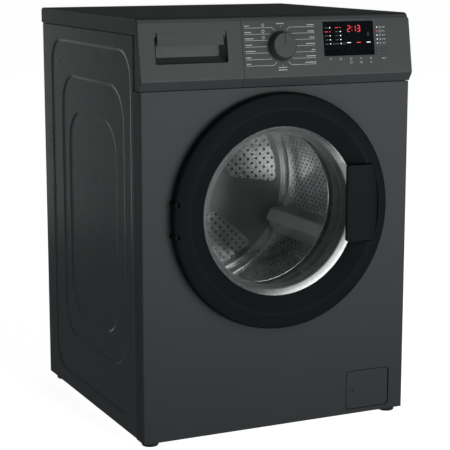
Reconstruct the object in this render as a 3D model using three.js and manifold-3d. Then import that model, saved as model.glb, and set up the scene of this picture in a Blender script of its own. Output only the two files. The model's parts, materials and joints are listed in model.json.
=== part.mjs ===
// A front-loading washing machine: cabinet, suspended tub, drum and belt drive, door, drawer and controls.
// Millimetres. +Z is up, the front faces -Y and the origin is on the floor under the machine's middle.
import * as THREE from 'three';
import { mergeVertices } from 'three/addons/utils/BufferGeometryUtils.js';
import Module from 'manifold-3d';

const wasm = await Module();
wasm.setup();

// Cabinet
const HALF_WIDTH = 300;
const CABINET_HALF = 298;
const HEIGHT = 850;
const FRONT = -274;
const REAR = 306;
const SHEET = 2;
const GAP = 0.4;
const CABINET_FOOT_Z = 10.3;
const SEAM_Z = 711;
const WORKTOP_UNDER_Z = 817.3;
const RETURN_DEPTH = 36.3;
const PANEL_BACK = 568;

// Leaning control panel
const CREASE_DEPTH = -10;
const CREASE_Z = 730;
const FASCIA_TOP_DEPTH = 9;
const FASCIA_TOP_Z = 842;
const LEAN = Math.atan2(FASCIA_TOP_DEPTH - CREASE_DEPTH, FASCIA_TOP_Z - CREASE_Z);
const DRAWER_SPLIT_X = -83;
const FASCIA_WALL = 3;

// Drum axis and round parts
const AXIS_Z = 460;
const MOUTH_R = 172;
const DRUM_R = 232;
const DRUM_LIP_R = 165;
const TUB_R = 254;
const DRUM_BACK = 404;
const TUB_BACK = 443;
const LIFTER_ANGLES = [335, 95, 215];
const ROUND_STEPS = 32;

// Door
const DOOR_HINGE_X = -234;
const DOOR_HINGE_DEPTH = -16.5;
const RING_R = 240.5;
const RING_BACK = -5;
const GLASS_EDGE_R = 172;
const HANDLE_PIVOT_X = 190;
const HANDLE_PIVOT_DEPTH = -17;
const HANDLE_LOW_Z = 390;
const HANDLE_TOP_Z = 547;
const HOOK_PIVOT = [192, -8.2];
const DOOR_STEPS = 36;

// Drive
const DRUM_PULLEY_R = 145;
const MOTOR_PULLEY_R = 11;
const MOTOR_X = -30;
const MOTOR_Z = 128;
const BELT_PLANE = [506, 520];
const PULLEY_DEPTH = [504, 522];

// Suspension
const DAMPER_X = 170;
const DAMPER_DEPTH = 260;
const SPRING_X = 215;
const SPRING_DEPTH = 350;
const SPRING_LOW_Z = 652;
const SPRING_TOP_Z = 799;

// Drawer and filter
const DRAWER_X = [-284, -96];
const FLAP_X = [162.3, 262.8];
const FLAP_Z = [21.3, 102.7];
const FLAP_HINGE = [262, 3];
const PUMP_X = 212;
const PUMP_Z = 62;

const LOOKS = {
  fascia: ['#4a4d4e', 0.45, 0.0],
  paint: ['#393d3d', 0.4, 0.25],
  side: ['#252829', 0.5, 0.25],
  top: ['#282c2c', 0.5, 0.0],
  black: ['#101516', 0.35, 0.0],
  gloss: ['#050607', 0.1, 0.0],
  rubber: ['#1b1c1c', 0.85, 0.0],
  glass: ['#c9d2d2', 0.05, 0.0],
  steel: ['#b9bcbc', 0.28, 1.0],
  zinc: ['#8f9496', 0.5, 0.9],
  tub: ['#5c6062', 0.7, 0.0],
  concrete: ['#8d8a84', 0.95, 0.0],
  light_plastic: ['#c9cccb', 0.55, 0.0],
  board: ['#1f5a3a', 0.6, 0.0],
  aluminium: ['#a5a8aa', 0.5, 1.0],
};

const machine = new THREE.Group();
machine.name = 'washing_machine';

const controls = new THREE.Group();
controls.position.set(0, FRONT + CREASE_DEPTH, CREASE_Z);
controls.rotation.x = Math.PI / 2 - LEAN;
controls.updateMatrix();
machine.add(controls);

// Depth is measured rearwards from the front panel's face.
const at = (depth) => FRONT + depth;
const slope = (z) => (z - CREASE_Z) / Math.cos(LEAN);

function solid(geometry) {
  geometry.deleteAttribute('normal');
  geometry.deleteAttribute('uv');
  const merged = mergeVertices(geometry, 1e-4);
  const place = merged.attributes.position;
  const index = merged.index.array;
  const corner = (i) => new THREE.Vector3().fromBufferAttribute(place, i);
  const faces = [];
  let volume = 0;
  for (let i = 0; i < index.length; i += 3) {
    const [a, b, c] = [index[i], index[i + 1], index[i + 2]];
    if (a === b || b === c || c === a) continue;
    faces.push([a, b, c]);
    volume += corner(a).dot(corner(b).cross(corner(c)));
  }
  if (volume < 0) faces.forEach((face) => face.reverse());
  return new wasm.Manifold(new wasm.Mesh({
    numProp: 3,
    vertProperties: new Float32Array(place.array),
    triVerts: new Uint32Array(faces.flat()),
  }));
}

function add(name, shape, look, parent = machine) {
  const { vertProperties, triVerts } = shape.getMesh();
  const geometry = new THREE.BufferGeometry();
  geometry.setAttribute('position', new THREE.BufferAttribute(new Float32Array(vertProperties), 3));
  geometry.setIndex(new THREE.BufferAttribute(new Uint32Array(triVerts), 1));
  geometry.computeVertexNormals();
  const [color, roughness, metalness] = LOOKS[look];
  const mesh = new THREE.Mesh(geometry, new THREE.MeshStandardMaterial({ color, roughness, metalness }));
  mesh.name = name;
  parent.add(mesh);
  return mesh;
}

function union(...shapes) {
  return shapes.reduce((whole, next) => whole.add(next));
}

// Limits are low and high values along X, Y (as depths) and Z.
function block([x0, x1], [d0, d1], [z0, z1]) {
  const geometry = new THREE.BoxGeometry(x1 - x0, d1 - d0, z1 - z0);
  return solid(geometry.translate((x0 + x1) / 2, at((d0 + d1) / 2), (z0 + z1) / 2));
}

function slab([x0, x1], [y0, y1], [z0, z1]) {
  const geometry = new THREE.BoxGeometry(x1 - x0, y1 - y0, z1 - z0);
  return solid(geometry.translate((x0 + x1) / 2, (y0 + y1) / 2, (z0 + z1) / 2));
}

function outline(points) {
  return new THREE.Shape(points.map(([a, b]) => new THREE.Vector2(a, b)));
}

function roundedOutline([a0, a1], [b0, b1], r) {
  const shape = new THREE.Shape();
  shape.absarc(a1 - r, b0 + r, r, -Math.PI / 2, 0);
  shape.absarc(a1 - r, b1 - r, r, 0, Math.PI / 2);
  shape.absarc(a0 + r, b1 - r, r, Math.PI / 2, Math.PI);
  shape.absarc(a0 + r, b0 + r, r, Math.PI, 1.5 * Math.PI);
  return shape;
}

function circleOutline(r, x = 0, y = 0) {
  const shape = new THREE.Shape();
  shape.absarc(x, y, r, 0, 2 * Math.PI);
  return shape;
}

function extruded(shape, length, curveSegments) {
  return new THREE.ExtrudeGeometry(shape, { depth: length, bevelEnabled: false, curveSegments });
}

// A prism along X whose outline is drawn in depth and height.
function prismX(shape, [x0, x1], curveSegments = 2) {
  const turn = new THREE.Matrix4().set(0, 0, 1, x0, 1, 0, 0, FRONT, 0, 1, 0, 0, 0, 0, 0, 1);
  return solid(extruded(shape, x1 - x0, curveSegments).applyMatrix4(turn));
}

// A prism along Y whose outline is drawn in X and Z.
function prismY(shape, [d0, d1], curveSegments = 3) {
  const geometry = extruded(shape, d1 - d0, curveSegments).rotateX(Math.PI / 2);
  return solid(geometry.translate(0, at(d1), 0));
}

// A prism along Z whose outline is drawn in X and depth.
function prismZ(shape, [z0, z1], curveSegments = 4) {
  return solid(extruded(shape, z1 - z0, curveSegments).translate(0, FRONT, z0));
}

// A ring or disc about the drum's axis, or another axis along Y, from radius and depth pairs.
function turned(profile, steps = ROUND_STEPS, x = 0, z = AXIS_Z) {
  const closed = profile[0][0] > 0 ? [...profile, profile[0]] : profile;
  const points = closed.map(([r, depth]) => new THREE.Vector2(r, at(depth)));
  return solid(new THREE.LatheGeometry(points, steps).translate(x, 0, z));
}

function rodY(r, [d0, d1], x, z, steps = 16) {
  return solid(new THREE.CylinderGeometry(r, r, d1 - d0, steps).translate(x, at((d0 + d1) / 2), z));
}

function rodZ(r, [z0, z1], x, depth, steps = 16) {
  const geometry = new THREE.CylinderGeometry(r, r, z1 - z0, steps).rotateX(Math.PI / 2);
  return solid(geometry.translate(x, at(depth), (z0 + z1) / 2));
}

// ---- Cabinet ----

const PANEL_ARCHES = [
  { depth: [56, 521], z: [47, 784], r: 40 },
  { depth: [95, 463], z: [140, 711], r: 60 },
  { depth: [148, 423], z: [200, 635], r: 55 },
];
const ARCH_STEP = 1.2;

function sidePanel(sign) {
  const across = (a, b) => (sign > 0 ? [a, b] : [-b, -a]);
  const inner = CABINET_HALF - SHEET;
  const reach = [RETURN_DEPTH + GAP, REAR - FRONT];
  let shape = block(across(inner, CABINET_HALF), reach, [CABINET_FOOT_Z, WORKTOP_UNDER_Z - GAP]);
  PANEL_ARCHES.forEach(({ depth, z, r }, i) => {
    const sink = ARCH_STEP * (i + 1);
    const wideDepth = [depth[0] - SHEET, depth[1] + SHEET];
    const wideZ = [z[0] - SHEET, z[1] + SHEET];
    const wide = roundedOutline(wideDepth, wideZ, r + SHEET);
    const own = roundedOutline(depth, z, r);
    shape = shape.add(prismX(wide, across(inner - sink, inner + 1)));
    shape = shape.subtract(prismX(own, across(CABINET_HALF - sink, CABINET_HALF + 5)));
  });
  const hanger = [SPRING_DEPTH - 14, SPRING_DEPTH + 14];
  const shelfZ = [SPRING_TOP_Z + 0.3, SPRING_TOP_Z + 3.3];
  shape = shape.add(block(across(SPRING_X - 14, inner + 1), hanger, shelfZ));
  const webDepth = [SPRING_DEPTH - 14, SPRING_DEPTH - 11];
  return shape.add(block(across(SPRING_X + 40, inner + 1), webDepth, [770, 800]));
}

function frontPanel() {
  const edge = 5;
  const skin = new THREE.Shape();
  skin.moveTo(-CABINET_HALF, RETURN_DEPTH);
  skin.absarc(-CABINET_HALF + edge, edge, edge, Math.PI, 1.5 * Math.PI);
  skin.absarc(CABINET_HALF - edge, edge, edge, 1.5 * Math.PI, 2 * Math.PI);
  skin.lineTo(CABINET_HALF, RETURN_DEPTH);
  const height = [CABINET_FOOT_Z, SEAM_Z - 0.3];
  const inside = [-CABINET_HALF + SHEET, CABINET_HALF - SHEET];
  let shape = prismZ(skin, height);
  shape = shape.subtract(block(inside, [SHEET, RETURN_DEPTH + 1], [0, SEAM_Z - 0.3 - SHEET]));
  shape = shape.subtract(rodY(MOUTH_R, [-5, 10], 0, AXIS_Z, ROUND_STEPS));
  shape = shape.add(turned([[MOUTH_R, 0], [MOUTH_R + 2, 0], [MOUTH_R + 2, 12], [MOUTH_R, 12]]));
  const flapHole = [FLAP_X[0] - 1.4, FLAP_X[1] + 2.4];
  const collar = roundedOutline([flapHole[0] - 2, flapHole[1] + 2], [FLAP_Z[0] - 3.3, FLAP_Z[1] + 3.3], 10);
  shape = shape.add(prismY(collar, [1, 8]));
  shape = shape.subtract(prismY(roundedOutline(flapHole, [FLAP_Z[0] - 1.3, FLAP_Z[1] + 1.3], 8), [-1, 9]));
  shape = shape.subtract(rodZ(1.9, [FLAP_Z[0] - 2.6, FLAP_Z[1] + 2.6], ...FLAP_HINGE, 12));
  shape = shape.subtract(block([181, 207], [-1, 3], [446, 474]));
  hingeEarHeights().forEach(([low, high]) => {
    const slotX = [DOOR_HINGE_X - 5.6, DOOR_HINGE_X + 5.6];
    shape = shape.subtract(block(slotX, [-1, 3], [low - 0.6, high + 0.6]));
  });
  return shape;
}

function rearPanel() {
  let shape = block([-295.6, 295.6], [PANEL_BACK - SHEET, PANEL_BACK], [CABINET_FOOT_Z, 816.9]);
  shape = shape.subtract(rodY(162, [500, 600], 0, AXIS_Z, 32));
  shape = shape.subtract(rodY(14.5, [500, 600], 230, 757));
  return shape.subtract(rodY(9.5, [500, 600], -240, 757));
}

function rearCover() {
  const face = PANEL_BACK + 0.4;
  return turned([
    [0, face + 8], [148, face + 8], [166, face], [182, face],
    [182, face + 2], [167, face + 2], [149, face + 10], [0, face + 10],
  ], 32);
}

function worktop() {
  const back = REAR - FRONT;
  const shape = new THREE.Shape();
  shape.moveTo(8.2, WORKTOP_UNDER_Z);
  shape.lineTo(11.8, 838.8);
  shape.quadraticCurveTo(13.6, HEIGHT, 24, HEIGHT);
  shape.lineTo(back - 6, HEIGHT);
  shape.absarc(back - 6, HEIGHT - 6, 6, Math.PI / 2, 0, true);
  shape.lineTo(back, WORKTOP_UNDER_Z);
  return prismX(shape, [-HALF_WIDTH, HALF_WIDTH]);
}

function baseTray() {
  let shape = block([-295.6, 295.6], [2.6, 565.6], [CABINET_FOOT_Z, 40]);
  shape = shape.subtract(block([-292, 292], [6, 562], [13, 60]));
  shape = shape.subtract(block([150, 276], [0, 6.5], [13.2, 60]));
  FOOT_PLACES.forEach(({ x, depth }) => {
    shape = shape.add(rodZ(12, [11, 28], x, depth));
    shape = shape.subtract(rodZ(5.6, [0, 60], x, depth));
  });
  return shape;
}

const FOOT_PLACES = [
  { name: 'foot_front_left', x: -275, depth: 25 },
  { name: 'foot_front_right', x: 275, depth: 25 },
  { name: 'foot_rear_left', x: -275, depth: 545 },
  { name: 'foot_rear_right', x: 275, depth: 545 },
];

function foot() {
  const points = [[0, 0], [15.5, 0], [17, 1.5], [17, 7], [15, 8.5], [5, 8.5], [5, 38], [0, 38]];
  const profile = points.map(([r, z]) => new THREE.Vector2(r, z));
  return solid(new THREE.LatheGeometry(profile, 14).rotateX(Math.PI / 2));
}

// ---- Control panel ----

function fasciaSection(back) {
  return outline([
    [0, SEAM_Z + 0.6], [CREASE_DEPTH, CREASE_Z], [FASCIA_TOP_DEPTH, FASCIA_TOP_Z],
    [FASCIA_TOP_DEPTH + 2.8, FASCIA_TOP_Z], [7.6, 816.9], [back, 816.9], [back, SEAM_Z + 0.6],
  ]);
}

function fasciaHollow() {
  return outline([[3.2, 714.6], [CREASE_DEPTH + 3.2, 731], [7.3, 814], [60, 814], [60, 714.6]]);
}

function fasciaFace([x0, x1]) {
  const whole = roundedOutline([-HALF_WIDTH, HALF_WIDTH], [690, FASCIA_TOP_Z], 7);
  return prismY(whole, [-20, 60]).intersect(block([x0, x1], [-20, 60], [700, 850]));
}

// Shapes in the control panel's own frame: across, up the slope and outwards.
function onPanel(shape, [w0, w1], curveSegments = 3) {
  return extruded(shape, w1 - w0, curveSegments).translate(0, 0, w0);
}

const DISPLAY_X = [98, 214];
const DISPLAY_Z = [780.6, 835];
const KEY_Z = [767.6, 780.1];
const KEY_PITCH = 23.2;
const START_X = [219.5, 248];
const START_Z = [767, 779.5];
const KNOB_X = 3;
const KNOB_Z = 790;

function heights([low, high], grow = 0) {
  return [slope(low) - grow, slope(high) + grow];
}

function controlPanel() {
  const span = [DRAWER_SPLIT_X + 0.4, HALF_WIDTH];
  const inside = [span[0] + FASCIA_WALL, span[1] - FASCIA_WALL];
  let shape = prismX(fasciaSection(RETURN_DEPTH), span);
  shape = shape.intersect(fasciaFace(span));
  shape = shape.subtract(prismX(fasciaHollow(), inside));
  const frame = block([-297, span[0] + 1], [26, 28.5], [SEAM_Z + 0.6, 816.9]);
  shape = shape.add(frame.subtract(block([-288, -92], [20, 40], [734, 810])));
  const cuts = [
    roundedOutline([DISPLAY_X[0] - 0.4, DISPLAY_X[1] + 0.4], heights([767.1, 835.4]), 1.5),
    roundedOutline([START_X[0] - 0.4, START_X[1] + 0.4], heights(START_Z, 0.4), 2.5),
    circleOutline(4.2, KNOB_X, slope(KNOB_Z)),
  ];
  cuts.forEach((cut) => {
    shape = shape.subtract(solid(onPanel(cut, [-3.6, 5], 4).applyMatrix4(controls.matrix)));
  });
  return shape;
}

function pushButton([x0, x1], zRange, face, r) {
  const cap = solid(onPanel(roundedOutline([x0, x1], heights(zRange), r), [-2.4, face], 2));
  const middle = (slope(zRange[0]) + slope(zRange[1])) / 2;
  return cap.add(solid(onPanel(circleOutline(2, (x0 + x1) / 2, middle), [-9, -2], 4)));
}

function knob() {
  const points = [
    [0, -10], [3.4, -10], [3.4, 0.4], [29.4, 0.4], [29.4, 2.5],
    [25, 15.4], [23.6, 16.8], [0, 16.8],
  ];
  const profile = points.map(([r, w]) => new THREE.Vector2(r, w));
  const body = solid(new THREE.LatheGeometry(profile, 24).rotateX(Math.PI / 2));
  return body.subtract(slab([-1, 1], [2, 24], [16, 18]));
}

// ---- Dispenser ----

function drawerFront() {
  const span = [-HALF_WIDTH, DRAWER_SPLIT_X - 0.4];
  let shape = prismX(fasciaSection(24), span);
  shape = shape.intersect(fasciaFace(span));
  shape = shape.subtract(prismX(fasciaHollow(), [span[0] + FASCIA_WALL, span[1] - FASCIA_WALL]));
  const face = prismX(outline([[-12, 710], [-10, 730], [9, 842], [22, 842], [22, 710]]), [-280, -100]);
  shape = shape.add(block([-270, -113], [-10, 20.5], [760, 816.5]).intersect(face));
  const recess = outline([[-20, 762], [18.5, 762], [18.5, 814.4], [7, 814.4], [7.9, 822], [-20, 822]]);
  shape = shape.subtract(prismX(recess, [-268, -115]));
  const flap = outline([[1.2, 796], [5.6, 822.5], [8.3, 822.5], [7.4, 817], [5.2, 796]]);
  return shape.add(prismX(flap, [-262, -122]));
}

function drawerTray() {
  const wall = 2.5;
  const [left, right] = DRAWER_X;
  const dividers = [-216, -150];
  const edges = [left, ...dividers, right - wall];
  let shape = block(DRAWER_X, [24.4, 300], [738, 806]);
  for (let i = 0; i < 3; i += 1) {
    shape = shape.subtract(block([edges[i] + wall, edges[i + 1]], [30, 297.5], [741, 820]));
  }
  return shape;
}

function dispenserHousing() {
  let shape = block([-290.5, -89.5], [30, 320], [730, 812]);
  shape = shape.subtract(block([-288, -92], [20, 317], [733, 809.5]));
  return shape.add(rodZ(14, [716, 731], -150, 240));
}

// ---- Door ----

const hingeEarHeights = () => [[424, 432], [488, 496]];

function doorOuterRing() {
  const profile = [
    [RING_R, RING_BACK], [237.6, -19], [233.5, -21.6], [220, -25.6], [206.6, -28],
    [GLASS_EDGE_R, -10.4], [GLASS_EDGE_R, -9], [180, -9], [180, RING_BACK],
  ];
  let shape = turned(profile, DOOR_STEPS);
  const handleBay = block([165, 230], [-45, -11.5], [HANDLE_LOW_Z - 2.5, HANDLE_TOP_Z + 2.5]);
  shape = shape.subtract(handleBay.intersect(rodY(216, [-60, 0], 0, AXIS_Z, DOOR_STEPS)));
  const trunnions = [HANDLE_LOW_Z - 7, HANDLE_TOP_Z + 7];
  shape = shape.subtract(rodZ(2.9, trunnions, HANDLE_PIVOT_X, HANDLE_PIVOT_DEPTH, 12));
  shape = shape.subtract(block([184, 204], [-15, 0], [449, 471]));
  shape = shape.subtract(rodZ(1.9, [444, 476], ...HOOK_PIVOT, 12));
  shape = shape.subtract(rodZ(3, [423, 497], DOOR_HINGE_X, DOOR_HINGE_DEPTH, 16));
  hingeEarHeights().forEach(([low, high]) => {
    shape = shape.subtract(block([-260, DOOR_HINGE_X + 6.5], [-40, 0], [low - 0.7, high + 0.7]));
  });
  return shape;
}

function doorInnerRing() {
  const front = RING_BACK + 0.4;
  const back = -1;
  let shape = turned([[173.2, front], [212, front], [212, back], [173.2, back]], 36);
  return shape.subtract(block([183, 205], [-15, 5], [448, 472]));
}

function doorGlass() {
  return turned([
    [0, 101], [84, 98], [118, 88], [139.5, 30], [167.5, -8.6],
    [179, -8.6], [179, -5.3], [170.6, -5.3], [144.5, 32], [122, 92], [86, 102.6], [0, 105.6],
  ], 32);
}

function doorHandle() {
  const grip = outline([
    [139, -24.5], [139, -28.6], [141.5, -30.3], [184, -32], [205, -30.4], [213, -27],
    [213, -22.5], [204, -21.5], [190, -21.5], [166, -24.5],
  ]);
  let shape = prismZ(grip, [HANDLE_LOW_Z, HANDLE_TOP_Z]);
  const rounding = roundedOutline([139, 230], [HANDLE_LOW_Z, HANDLE_TOP_Z], 6);
  shape = shape.intersect(prismY(rounding, [-50, 0]));
  shape = shape.intersect(rodY(213.4, [-60, 0], 0, AXIS_Z, DOOR_STEPS));
  shape = shape.add(rodZ(4.6, [HANDLE_LOW_Z + 4, HANDLE_TOP_Z - 4], HANDLE_PIVOT_X, HANDLE_PIVOT_DEPTH, 16));
  const pin = [HANDLE_LOW_Z - 6, HANDLE_TOP_Z + 6];
  return shape.add(rodZ(2.5, pin, HANDLE_PIVOT_X, HANDLE_PIVOT_DEPTH, 12));
}

function doorHook() {
  const [x, depth] = HOOK_PIVOT;
  const hook = outline([
    [x - 3, depth - 2.4], [x + 3, depth - 2.4], [x + 3, 25], [x + 1, 27],
    [x - 2, 27], [x - 7.5, 20], [x - 7.5, 16],
    [x - 3, 16],
  ]);
  return prismZ(hook, [451, 469]).add(rodZ(1.5, [445, 475], x, depth, 12));
}

function doorHinge() {
  let shape = block([-250, -216], [2.4, 5], [414, 506]);
  hingeEarHeights().forEach((height) => {
    const arm = block([DOOR_HINGE_X - 5, DOOR_HINGE_X + 5], [DOOR_HINGE_DEPTH, 3], height);
    shape = union(shape, arm, rodZ(5, height, DOOR_HINGE_X, DOOR_HINGE_DEPTH, 20));
  });
  return shape.add(rodZ(2.5, [424, 496], DOOR_HINGE_X, DOOR_HINGE_DEPTH, 16));
}

function doorLock() {
  const shape = block([176, 214], [2.4, 36], [430, 490]);
  return shape.subtract(block([181, 207], [0, 32.5], [446, 474]));
}

function bellows() {
  return turned([
    [168, 1], [154.6, 20], [156, 24], [167, 13], [167, 44], [173, 52], [167.6, 60],
    [167.6, 79.5], [170.8, 79.5], [171, 63], [176, 52], [170.8, 40], [170.8, 1],
  ], 24);
}

// ---- Tub and what it carries ----

function tubFront() {
  return turned([
    [MOUTH_R, 70], [176, 70], [176, 80], [TUB_R, 80], [TUB_R, 172], [TUB_R + 8, 172], [TUB_R + 8, 178],
    [TUB_R - 4, 178], [TUB_R - 4, 84], [MOUTH_R, 84],
  ]);
}

const HUB_R = 44;
const BEARING_R = 30.4;
const HEATER_X = 40;
const HEATER_R = 241.8;

function tubRear() {
  let shape = turned([
    [TUB_R - 4, 178.3], [TUB_R + 8, 178.3], [TUB_R + 8, 184], [TUB_R, 184], [TUB_R, TUB_BACK + 6],
    [HUB_R, TUB_BACK + 6], [HUB_R, 496], [BEARING_R, 496], [BEARING_R, 477.6], [26, 477.6], [26, 458.4],
    [BEARING_R, 458.4], [BEARING_R, 440], [HUB_R, 440], [HUB_R, TUB_BACK], [TUB_R - 4, TUB_BACK],
  ]);
  const hollow = rodY(TUB_R - 2, [150, TUB_BACK], 0, AXIS_Z, ROUND_STEPS);
  [-1, 1].forEach((side) => {
    const lugX = side * SPRING_X;
    const lugDepth = [SPRING_DEPTH - 4, SPRING_DEPTH + 4];
    const lug = block([lugX - 8, lugX + 8], lugDepth, [585, SPRING_LOW_Z - 0.4]);
    shape = shape.add(lug.subtract(hollow));
    shape = shape.subtract(rodY(4.8, [430, 460], side * HEATER_X, heaterHeight(), 10));
  });
  const bore = rodY(56.2, [300, 480], MOTOR_X, MOTOR_Z, 28);
  [360, 428].forEach((depth) => {
    const arm = block([MOTOR_X - 16, MOTOR_X + 16], [depth, depth + 12], [170, 212]);
    shape = shape.add(arm.subtract(bore).subtract(hollow));
  });
  return shape;
}

function heaterHeight() {
  return AXIS_Z - Math.sqrt(HEATER_R ** 2 - HEATER_X ** 2);
}

function heatingElement() {
  const z = heaterHeight();
  const path = new THREE.CurvePath();
  const [near, far] = [150, 456];
  const point = (x, depth, height = z) => new THREE.Vector3(x, at(depth), height);
  path.add(new THREE.LineCurve3(point(-HEATER_X, far), point(-HEATER_X, near + HEATER_X)));
  const low = AXIS_Z - HEATER_R;
  path.add(new THREE.CubicBezierCurve3(
    point(-HEATER_X, near + HEATER_X), point(-HEATER_X, near - 12, low), point(HEATER_X, near - 12, low),
    point(HEATER_X, near + HEATER_X),
  ));
  path.add(new THREE.LineCurve3(point(HEATER_X, near + HEATER_X), point(HEATER_X, far)));
  const section = circleOutline(3.6);
  const tube = new THREE.ExtrudeGeometry(section, { steps: 16, extrudePath: path, curveSegments: 3 });
  return solid(tube);
}

function frontCounterweight() {
  const shape = new THREE.Shape();
  shape.absarc(0, AXIS_Z, 246, Math.PI * 1.04, Math.PI * 1.96, false);
  shape.absarc(0, AXIS_Z, 184, Math.PI * 1.96, Math.PI * 1.04, true);
  return prismY(shape, [46, 79.6], 16);
}

function topCounterweight() {
  let shape = prismY(roundedOutline([-60, 190], [690, 788], 14), [130, 400]);
  shape = shape.subtract(rodY(TUB_R + 0.5, [100, 420], 0, AXIS_Z, ROUND_STEPS));
  return shape.subtract(rodY(TUB_R + 8.6, [171, 185], 0, AXIS_Z, ROUND_STEPS));
}

function motor() {
  return turned([
    [0, 348], [20, 348], [22, 354], [48, 354], [55, 360],
    [55, 476], [48, 482], [14, 482], [14, 490], [6, 490],
    [6, 526], [0, 526],
  ], 24, MOTOR_X, MOTOR_Z);
}

function beltOutline(grow) {
  const reach = Math.hypot(MOTOR_X, AXIS_Z - MOTOR_Z);
  const bearing = Math.atan2(MOTOR_Z - AXIS_Z, MOTOR_X);
  const spread = Math.acos((DRUM_PULLEY_R - MOTOR_PULLEY_R) / reach);
  const shape = new THREE.Shape();
  shape.absarc(0, AXIS_Z, DRUM_PULLEY_R + grow, bearing + spread, bearing - spread + 2 * Math.PI, false);
  shape.absarc(MOTOR_X, MOTOR_Z, MOTOR_PULLEY_R + grow, bearing - spread, bearing + spread, false);
  return shape;
}

function driveBelt() {
  const outer = prismY(beltOutline(4.2), BELT_PLANE, 12);
  return outer.subtract(prismY(beltOutline(1.5), [BELT_PLANE[0] - 5, BELT_PLANE[1] + 5], 12));
}

function bearing(depths) {
  return turned([[12.9, depths[0]], [30, depths[0]], [30, depths[1]], [12.9, depths[1]]], 20);
}

function damperCylinder(side) {
  const shape = rodZ(16, [13.4, 160], side * DAMPER_X, DAMPER_DEPTH);
  return shape.subtract(rodZ(12.5, [44, 170], side * DAMPER_X, DAMPER_DEPTH));
}

function damperRod(side) {
  const x = side * DAMPER_X;
  const rod = union(rodZ(8, [72, 285], x, DAMPER_DEPTH, 12), rodZ(11.6, [72, 96], x, DAMPER_DEPTH, 16));
  return rod.subtract(rodY(TUB_R + 0.5, [100, 420], 0, AXIS_Z, ROUND_STEPS));
}

class Helix extends THREE.Curve {
  constructor(turns, r, length) {
    super();
    Object.assign(this, { turns, r, length });
  }

  getPoint(t, target = new THREE.Vector3()) {
    const angle = t * this.turns * 2 * Math.PI;
    return target.set(this.r * Math.cos(angle), this.r * Math.sin(angle), t * this.length);
  }
}

function suspensionSpring(side) {
  const wire = 2;
  const curve = new Helix(5, 11, SPRING_TOP_Z - SPRING_LOW_Z - 2 * wire - 1);
  const settings = { steps: 36, extrudePath: curve, curveSegments: 2 };
  const tube = new THREE.ExtrudeGeometry(circleOutline(wire), settings);
  return solid(tube.translate(side * SPRING_X, at(SPRING_DEPTH), SPRING_LOW_Z + wire + 0.5));
}

// ---- Drum and drive ----

function drumShell() {
  const r = DRUM_R;
  const back = DRUM_BACK;
  return turned([
    [0, back - 4], [r - 20, back], [r, back + 1], [r, 101], [DRUM_LIP_R, 94], [DRUM_LIP_R, 92.4],
    [r - 4, 96.2], [r + 1.6, 102], [r + 1.6, back + 2], [r - 20, back + 2], [0, back - 2],
  ], 36);
}

function lifter() {
  const foot = 4.5 - DRUM_R;
  const section = outline([
    [-34, foot], [34, foot], [14, foot + 43], [9, foot + 47], [-9, foot + 47], [-14, foot + 43],
  ]);
  const end = DRUM_BACK - 16;
  return solid(extruded(section, end - 122, 1).rotateX(Math.PI / 2).translate(0, at(end), 0));
}

function spider() {
  let shape = rodY(30, [DRUM_BACK + 8, DRUM_BACK + 34], 0, AXIS_Z, 24);
  LIFTER_ANGLES.forEach((angle) => {
    const turn = THREE.MathUtils.degToRad(angle);
    const arm = outline([[0, -22], [214, -13], [214, 13], [0, 22]]);
    const geometry = extruded(arm, 20, 1).rotateX(Math.PI / 2).rotateY(-turn);
    shape = shape.add(solid(geometry.translate(0, at(DRUM_BACK + 28), AXIS_Z)));
  });
  return shape.subtract(rodY(12.9, [DRUM_BACK, DRUM_BACK + 40], 0, AXIS_Z, 24));
}

function drumShaft() {
  return turned([[0, 414], [12.5, 414], [12.5, 522.6], [18, 522.6], [18, 529], [0, 529]], 24);
}

function drumPulley() {
  let web = rodY(DRUM_PULLEY_R - 4, [510, 516], 0, AXIS_Z, ROUND_STEPS);
  for (let i = 0; i < 6; i += 1) {
    const turn = (i * Math.PI) / 3;
    const window = new THREE.Shape();
    window.absarc(0, 0, 126, turn + 0.14, turn + Math.PI / 3 - 0.14, false);
    window.absarc(0, 0, 46, turn + Math.PI / 3 - 0.34, turn + 0.34, true);
    const cutter = extruded(window, 20, 2).rotateX(Math.PI / 2).translate(0, at(523), AXIS_Z);
    web = web.subtract(solid(cutter));
  }
  const r = DRUM_PULLEY_R;
  const [near, far] = PULLEY_DEPTH;
  const rim = turned([[r - 8, near], [r, near], [r, far], [r - 8, far]]);
  const hub = rodY(26, [near - 4, far], 0, AXIS_Z, 24);
  return union(web, rim, hub).subtract(rodY(12.9, [near - 10, far + 10], 0, AXIS_Z, 24));
}

function motorPulley() {
  const shape = rodY(MOTOR_PULLEY_R, PULLEY_DEPTH, MOTOR_X, MOTOR_Z, 20);
  return shape.subtract(rodY(6.4, [500, 530], MOTOR_X, MOTOR_Z, 14));
}

// ---- Water parts ----

function inletValve() {
  const body = block([206, 254], [505, 565], [738, 776]);
  return body.add(rodY(13, [560, REAR - FRONT], 230, 757));
}

function cableGland() {
  return turned([[5, 558], [9, 558], [9, 568.5], [14, 568.5], [14, 574], [9, 576], [5, 576]], 14, -240, 757);
}

function drainPump() {
  let shape = union(
    rodY(36, [42, 76], PUMP_X, PUMP_Z, 24), rodY(24, [70, 140], PUMP_X, PUMP_Z, 16),
    block([PUMP_X - 24, PUMP_X + 24], [46, 72], [13.4, PUMP_Z]), rodZ(10, [80, 124], PUMP_X - 20, 60),
  );
  return shape.subtract(rodY(27, [30, 70], PUMP_X, PUMP_Z, 24));
}

function pumpFilter() {
  return union(
    rodY(26, [34, 67], PUMP_X, PUMP_Z, 24), rodY(32, [34, 41], PUMP_X, PUMP_Z, 24),
    block([PUMP_X - 24, PUMP_X + 24], [14, 36], [PUMP_Z - 4, PUMP_Z + 4]),
  );
}

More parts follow.
